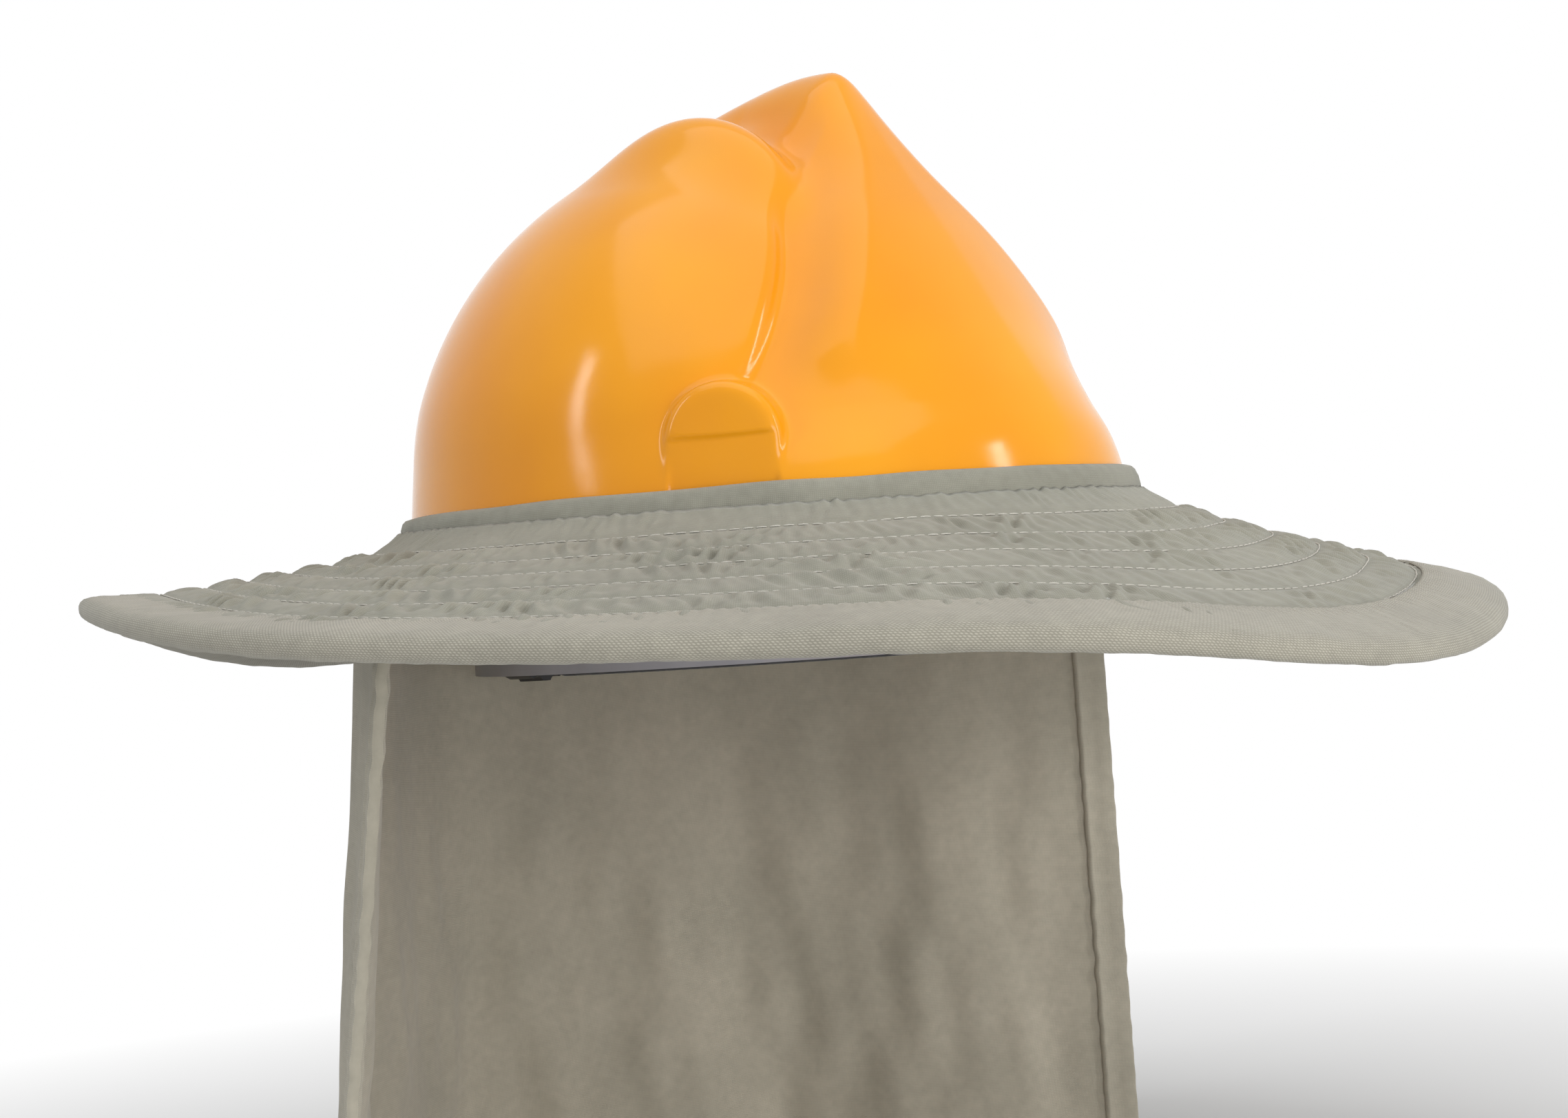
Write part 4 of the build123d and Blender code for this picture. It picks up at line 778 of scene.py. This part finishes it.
def cloth_material(name, light, dark, pitch, weave, twill=False):
    """Woven cloth: two sets of threads, uneven dye, a little fuzz. The pitch is in metres."""
    material, nodes, links, shader = new_material(name)
    uv = nodes.new("ShaderNodeUVMap")
    uv.uv_map = "cloth"
    place = nodes.new("ShaderNodeTexCoord")
    across = "DIAGONAL" if twill else "X"
    warp = add_node(nodes, "ShaderNodeTexWave", wave_type="BANDS", bands_direction=across)
    weft = add_node(nodes, "ShaderNodeTexWave", wave_type="BANDS", bands_direction="Y")
    warp.inputs["Scale"].default_value = (0.628 if twill else 0.314) / pitch
    weft.inputs["Scale"].default_value = 0.314 / (pitch * 0.55 if twill else pitch)
    for wave in (warp, weft):
        wave.inputs["Distortion"].default_value = 1.2
        wave.inputs["Detail"].default_value = 2.0
        wave.inputs["Detail Scale"].default_value = 1.5
        links.new(uv.outputs["UV"], wave.inputs["Vector"])
    threads = add_node(nodes, "ShaderNodeMath", operation="MULTIPLY")
    links.new(warp.outputs["Fac"], threads.inputs[0])
    links.new(weft.outputs["Fac"], threads.inputs[1])
    broad = add_node(nodes, "ShaderNodeTexNoise", Scale=22.0, Detail=5.0, Roughness=0.6)
    fine = add_node(nodes, "ShaderNodeTexNoise", Scale=900.0, Detail=3.0, Roughness=0.7)
    slub = add_node(nodes, "ShaderNodeTexNoise", Scale=260.0, Detail=4.0, Roughness=0.6)
    for noise in (broad, fine, slub):
        links.new(place.outputs["Object"], noise.inputs["Vector"])
    base = colour_ramp(nodes, links, broad.outputs["Fac"], dark, light, 0.32, 0.68)
    thread_mix = add_node(nodes, "ShaderNodeMix", data_type="RGBA", blend_type="MULTIPLY")
    thread_mix.inputs[0].default_value = weave
    tones = (0.62, 0.62, 0.6), (1.12, 1.12, 1.12)
    thread_tone = colour_ramp(nodes, links, threads.outputs[0], *tones, 0.05, 0.7)
    links.new(base, thread_mix.inputs[6])
    links.new(thread_tone, thread_mix.inputs[7])
    fuzz_mix = add_node(nodes, "ShaderNodeMix", data_type="RGBA", blend_type="MULTIPLY")
    fuzz_mix.inputs[0].default_value = 0.55
    tones = (0.86, 0.86, 0.86), (1.1, 1.1, 1.1)
    fuzz_tone = colour_ramp(nodes, links, slub.outputs["Fac"], *tones)
    links.new(thread_mix.outputs[2], fuzz_mix.inputs[6])
    links.new(fuzz_tone, fuzz_mix.inputs[7])
    links.new(fuzz_mix.outputs[2], shader.inputs["Base Color"])
    height = add_node(nodes, "ShaderNodeMath", operation="MULTIPLY_ADD")
    height.inputs[1].default_value = CLOTH_FUZZ
    links.new(fine.outputs["Fac"], height.inputs[0])
    links.new(threads.outputs[0], height.inputs[2])
    bump = add_node(nodes, "ShaderNodeBump", Strength=0.35, Distance=0.0002)
    links.new(height.outputs[0], bump.inputs["Height"])
    links.new(bump.outputs["Normal"], shader.inputs["Normal"])
    shader.inputs["Roughness"].default_value = 0.88
    shader.inputs["Specular IOR Level"].default_value = 0.2
    shader.inputs["Sheen Weight"].default_value = CLOTH_SHEEN
    shader.inputs["Sheen Roughness"].default_value = 0.5
    return material


def shell_material():
    material, nodes, links, shader = new_material("glossy_yellow_shell")
    place = nodes.new("ShaderNodeTexCoord")
    broad = add_node(nodes, "ShaderNodeTexNoise", Scale=9.0, Detail=3.0, Roughness=0.5)
    grain = add_node(nodes, "ShaderNodeTexNoise", Scale=420.0, Detail=2.0, Roughness=0.5)
    wave = add_node(nodes, "ShaderNodeTexNoise", Scale=34.0, Detail=2.0, Roughness=0.5)
    scuff = add_node(nodes, "ShaderNodeTexNoise", Scale=75.0, Detail=6.0, Roughness=0.7)
    for noise in (broad, grain, wave, scuff):
        links.new(place.outputs["Object"], noise.inputs["Vector"])
    tones = (0.82, 0.300, 0.004), (0.92, 0.380, 0.008)
    base = colour_ramp(nodes, links, broad.outputs["Fac"], *tones, 0.35, 0.65)
    links.new(base, shader.inputs["Base Color"])
    rough = nodes.new("ShaderNodeMapRange")
    rough.inputs["From Min"].default_value = 0.35
    rough.inputs["From Max"].default_value = 0.75
    rough.inputs["To Min"].default_value = 0.11
    rough.inputs["To Max"].default_value = 0.22
    links.new(scuff.outputs["Fac"], rough.inputs["Value"])
    links.new(rough.outputs["Result"], shader.inputs["Roughness"])
    height = add_node(nodes, "ShaderNodeMath", operation="MULTIPLY_ADD")
    height.inputs[1].default_value = 0.12
    links.new(grain.outputs["Fac"], height.inputs[0])
    links.new(wave.outputs["Fac"], height.inputs[2])
    bump = add_node(nodes, "ShaderNodeBump", Strength=0.12, Distance=0.0008)
    links.new(height.outputs[0], bump.inputs["Height"])
    links.new(bump.outputs["Normal"], shader.inputs["Normal"])
    shader.inputs["IOR"].default_value = 1.36
    return material


def plastic_material(name, light, dark, rough=0.42, bump_scale=600.0):
    material, nodes, links, shader = new_material(name)
    place = nodes.new("ShaderNodeTexCoord")
    broad = add_node(nodes, "ShaderNodeTexNoise", Scale=40.0, Detail=4.0, Roughness=0.6)
    grain = add_node(nodes, "ShaderNodeTexNoise", Scale=bump_scale, Detail=3.0, Roughness=0.6)
    links.new(place.outputs["Object"], broad.inputs["Vector"])
    links.new(place.outputs["Object"], grain.inputs["Vector"])
    links.new(colour_ramp(nodes, links, broad.outputs["Fac"], dark, light), shader.inputs["Base Color"])
    span = nodes.new("ShaderNodeMapRange")
    span.inputs["To Min"].default_value = rough - 0.08
    span.inputs["To Max"].default_value = rough + 0.1
    links.new(broad.outputs["Fac"], span.inputs["Value"])
    links.new(span.outputs["Result"], shader.inputs["Roughness"])
    bump = add_node(nodes, "ShaderNodeBump", Strength=0.2, Distance=0.0001)
    links.new(grain.outputs["Fac"], bump.inputs["Height"])
    links.new(bump.outputs["Normal"], shader.inputs["Normal"])
    return material


def solid_weave(name, light, dark, scale):
    """A woven or foamed finish for pieces with no cloth map."""
    material, nodes, links, shader = new_material(name)
    place = nodes.new("ShaderNodeTexCoord")
    cells = add_node(nodes, "ShaderNodeTexVoronoi", Scale=scale)
    broad = add_node(nodes, "ShaderNodeTexNoise", Scale=50.0, Detail=5.0, Roughness=0.6)
    links.new(place.outputs["Object"], cells.inputs["Vector"])
    links.new(place.outputs["Object"], broad.inputs["Vector"])
    links.new(colour_ramp(nodes, links, broad.outputs["Fac"], dark, light), shader.inputs["Base Color"])
    bump = add_node(nodes, "ShaderNodeBump", Strength=0.4, Distance=0.0003)
    links.new(cells.outputs["Distance"], bump.inputs["Height"])
    links.new(bump.outputs["Normal"], shader.inputs["Normal"])
    shader.inputs["Roughness"].default_value = 0.85
    shader.inputs["Sheen Weight"].default_value = 0.15
    return material


# Two tones of each, as linear colours, light and dark
KHAKI = cloth_material("khaki_cloth", (0.335, 0.328, 0.272), (0.275, 0.270, 0.222), 0.00055, 0.3)
TWILL = cloth_material("binding_twill", (0.430, 0.408, 0.340), (0.375, 0.357, 0.298), 0.0012, 0.8, True)
LINING = cloth_material("lining_cloth", (0.250, 0.250, 0.205), (0.205, 0.208, 0.168), 0.0006, 0.3)
CURTAIN = cloth_material("curtain_cloth", (0.500, 0.460, 0.375), (0.430, 0.400, 0.325), 0.0006, 0.28)
HEM = cloth_material("hem_cloth", (0.500, 0.465, 0.380), (0.440, 0.410, 0.335), 0.0006, 0.3)
YELLOW = shell_material()
THREAD = solid_weave("thread", (0.62, 0.60, 0.54), (0.50, 0.48, 0.43), 2500.0)
GREY = plastic_material("suspension_plastic", (0.46, 0.46, 0.50), (0.38, 0.38, 0.42))
BLACK = plastic_material("ratchet_plastic", (0.035, 0.035, 0.038), (0.02, 0.02, 0.022))
FOAM = solid_weave("sweat_foam", (0.035, 0.035, 0.038), (0.018, 0.018, 0.02), 900.0)
WEBBING = solid_weave("webbing", (0.075, 0.075, 0.08), (0.045, 0.045, 0.05), 1100.0)
ELASTIC = solid_weave("elastic", (0.55, 0.54, 0.5), (0.45, 0.44, 0.4), 1300.0)
SHEET = solid_weave("foam_sheet", (0.5, 0.5, 0.46), (0.42, 0.42, 0.39), 700.0)
STEEL = plastic_material("screw_steel", (0.62, 0.62, 0.62), (0.5, 0.5, 0.5), 0.3, 900.0)
STEEL.node_tree.nodes["Principled BSDF"].inputs["Metallic"].default_value = 1.0


def dress(piece, material, slot, body, *nodes):
    piece.data.materials.clear()
    piece.data.materials.append(material)
    if nodes:
        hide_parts(*nodes)
    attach(piece, body)
    return piece


# Camera: at the wearer's front right, seen with the hat tipped back

TILT, YAW, PITCH, PAN = -5.3, 50.0, 2.83, 0.453
DISTANCE, RISE = 0.9, 0.076
PICTURE_WIDTH, FOCAL_PIXELS, SENSOR = 2277.0, 3987.0, 36.0


def place_camera():
    tilt = Matrix.Rotation(math.radians(TILT), 4, "X")
    pivot = Vector((0, 0, GIRTH * UNIT))
    yaw, pitch, pan = math.radians(YAW), math.radians(PITCH), math.radians(PAN)
    towards = Vector((-math.sin(yaw), -math.cos(yaw), 0))
    right = Vector((math.cos(yaw), -math.sin(yaw), 0))
    up = Vector((0, 0, 1))
    place = towards * DISTANCE + up * RISE
    look = (-towards + right * math.tan(pan)).normalized()
    look = (look * math.cos(pitch) - up * math.sin(pitch)).normalized()
    side = look.cross(up).normalized()
    top = side.cross(look).normalized()
    turned = Matrix((
        (side.x, top.x, -look.x, place.x),
        (side.y, top.y, -look.y, place.y),
        (side.z, top.z, -look.z, place.z),
        (0, 0, 0, 1),
    ))
    back = Matrix.Translation(pivot) @ tilt.inverted() @ Matrix.Translation(-pivot)
    data = bpy.data.cameras.new("camera")
    data.sensor_width = SENSOR
    data.lens = FOCAL_PIXELS / PICTURE_WIDTH * SENSOR
    data.clip_start, data.clip_end = 0.05, 30.0
    camera = bpy.data.objects.new("camera", data)
    camera.matrix_world = back @ turned
    bpy.context.scene.collection.objects.link(camera)
    bpy.context.scene.camera = camera


place_camera()

# Pieces, each with its material, the body it rides on and the CAD nodes it replaces

dress(build_shell(), YELLOW, "shell_plastic", "hat", "shell")
dress(build_visor(), YELLOW, "shell_plastic", "hat")

top_cloth = build_brim_cloth("brim_cloth_top", False)
dress(top_cloth, KHAKI, "khaki_cloth", "sun_shade", "brim_top_cloth")
lining = build_brim_cloth("brim_cloth_under", True)
dress(lining, LINING, "lining_cloth", "sun_shade", "brim_lining")
binding = dress(build_binding(), TWILL, "binding_twill", "sun_shade", "brim_binding")
stitches = dress(build_brim_stitches(), THREAD, "binding_twill", "sun_shade")

collar = dress(build_collar(), KHAKI, "khaki_cloth", "sun_shade", "collar_band")
elastic = ring_solid("collar_elastic_knit", 1.75, 2.45, 44.6, 50.2)
dress(elastic, ELASTIC, "elastic", "sun_shade", "collar_elastic")

curtain = dress(build_curtain(), CURTAIN, "lining_cloth", "sun_shade", "neck_curtain")
hem_right = build_hem("curtain_fold_right", False)
dress(hem_right, HEM, "lining_cloth", "sun_shade", "curtain_hem_right")
hem_left = build_hem("curtain_fold_left", True)
dress(hem_left, HEM, "lining_cloth", "sun_shade", "curtain_hem_left")
tape = dress(build_tape(), LINING, "lining_cloth", "sun_shade", "curtain_seam_tape")
foam = copy_of("brim_stiffener", "brim_foam_sheet")
dress(foam, SHEET, "foam_sheet", "sun_shade", "brim_stiffener")

sweat = dress(copy_of("sweatband", "sweatband_foam", 0.0011, 6), FOAM, "sweat_foam", "hat", "sweatband")
pad = dress(copy_of("nape_pad", "nape_pad_foam", 0.0009, 5), FOAM, "sweat_foam", "hat", "nape_pad")
dress(copy_of("crown_strap_lower", "crown_webbing_lower"), WEBBING, "webbing", "hat", "crown_strap_lower")
dress(copy_of("crown_strap_upper", "crown_webbing_upper"), WEBBING, "webbing", "hat", "crown_strap_upper")

for node, material in (
    ("headband", GREY), ("hanger_key_front_right", GREY), ("hanger_key_front_left", GREY),
    ("hanger_key_rear_right", GREY), ("hanger_key_rear_left", GREY), ("left_rack_strap", GREY),
    ("right_rack_strap", GREY), ("ratchet_base", BLACK), ("ratchet_cover", BLACK),
    ("ratchet_pinion", BLACK), ("ratchet_knob", BLACK), ("detent_spring", BLACK), ("pinion_screw", STEEL),
):
    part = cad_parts[node]
    for place in part.material_slots:
        place.link = "OBJECT"
        place.material = material


# Floor, world and light

def build_floor():
    """A pale floor that keeps the shadow near the object and is white to the camera further away."""
    signs = ((-1, -1), (1, -1), (1, 1), (-1, 1))
    corners = [(i * FLOOR_HALF, j * FLOOR_HALF, FLOOR_LEVEL) for i, j in signs]
    floor = make_object("floor", corners, [(0, 1, 2, 3)], False)
    material, nodes, links, shader = new_material("pale_floor")
    place = nodes.new("ShaderNodeTexCoord")
    noise = add_node(nodes, "ShaderNodeTexNoise", Scale=3.0, Detail=3.0)
    links.new(place.outputs["Object"], noise.inputs["Vector"])
    tone = colour_ramp(nodes, links, noise.outputs["Fac"], (0.80, 0.80, 0.80), (0.83, 0.83, 0.83))
    links.new(tone, shader.inputs["Base Color"])
    shader.inputs["Roughness"].default_value = 0.9
    shader.inputs["Specular IOR Level"].default_value = 0.1
    white = add_node(nodes, "ShaderNodeEmission")
    reach = add_node(nodes, "ShaderNodeVectorMath", operation="LENGTH")
    links.new(place.outputs["Object"], reach.inputs[0])
    far = nodes.new("ShaderNodeMapRange")
    far.inputs["From Min"].default_value, far.inputs["From Max"].default_value = WHITE_FROM, WHITE_TO
    links.new(reach.outputs["Value"], far.inputs["Value"])
    path = nodes.new("ShaderNodeLightPath")
    seen = add_node(nodes, "ShaderNodeMath", operation="MULTIPLY")
    links.new(path.outputs["Is Camera Ray"], seen.inputs[0])
    links.new(far.outputs["Result"], seen.inputs[1])
    both = nodes.new("ShaderNodeMixShader")
    links.new(seen.outputs[0], both.inputs["Fac"])
    links.new(shader.outputs["BSDF"], both.inputs[1])
    links.new(white.outputs["Emission"], both.inputs[2])
    links.new(both.outputs["Shader"], nodes["Material Output"].inputs["Surface"])
    floor.data.materials.append(material)


def build_world():
    """Even light, and a white background to the camera and in reflections."""
    world = bpy.data.worlds.new("studio")
    bpy.context.scene.world = world
    world.use_nodes = True
    nodes, links = world.node_tree.nodes, world.node_tree.links
    light = nodes["Background"]
    light.inputs["Color"].default_value = (1.0, 1.0, 1.0, 1)
    light.inputs["Strength"].default_value = WORLD_STRENGTH
    seen = nodes.new("ShaderNodeBackground")
    seen.inputs["Color"].default_value = (1, 1, 1, 1)
    seen.inputs["Strength"].default_value = 1.0
    path = nodes.new("ShaderNodeLightPath")
    white = path.outputs["Is Camera Ray"]
    for ray in ("Is Transmission Ray", "Is Glossy Ray"):
        either = add_node(nodes, "ShaderNodeMath", operation="MAXIMUM")
        links.new(white, either.inputs[0])
        links.new(path.outputs[ray], either.inputs[1])
        white = either.outputs[0]
    mix = nodes.new("ShaderNodeMixShader")
    links.new(white, mix.inputs["Fac"])
    links.new(light.outputs["Background"], mix.inputs[1])
    links.new(seen.outputs["Background"], mix.inputs[2])
    links.new(mix.outputs["Shader"], nodes["World Output"].inputs["Surface"])


def area_light(name, place, target, size, power, colour=(1, 1, 1)):
    data = bpy.data.lights.new(name, "AREA")
    data.shape = "RECTANGLE"
    data.size, data.size_y = size
    data.energy = power
    data.color = colour
    lamp = bpy.data.objects.new(name, data)
    lamp.location = place
    lamp.rotation_euler = (Vector(target) - Vector(place)).to_track_quat("-Z", "Y").to_euler()
    bpy.context.scene.collection.objects.link(lamp)


build_floor()
build_world()
area_light("overhead", (-0.5, -0.3, 1.7), (0, 0, 0.05), (2.2, 2.2), 19.0)
area_light("front_window", (0.45, -1.6, 0.5), (0, 0, 0.0), (0.16, 0.8), 7.0, (1.0, 0.98, 0.95))
area_light("side_window", (-1.5, 0.7, 0.8), (0, 0, 0.06), (0.16, 0.8), 4.0, (0.95, 0.98, 1.0))
area_light("low_fill", (-0.6, -1.4, -0.02), (0, 0.1, -0.1), (0.7, 0.7), 9.0)

bpy.context.scene.view_settings.view_transform = "Standard"
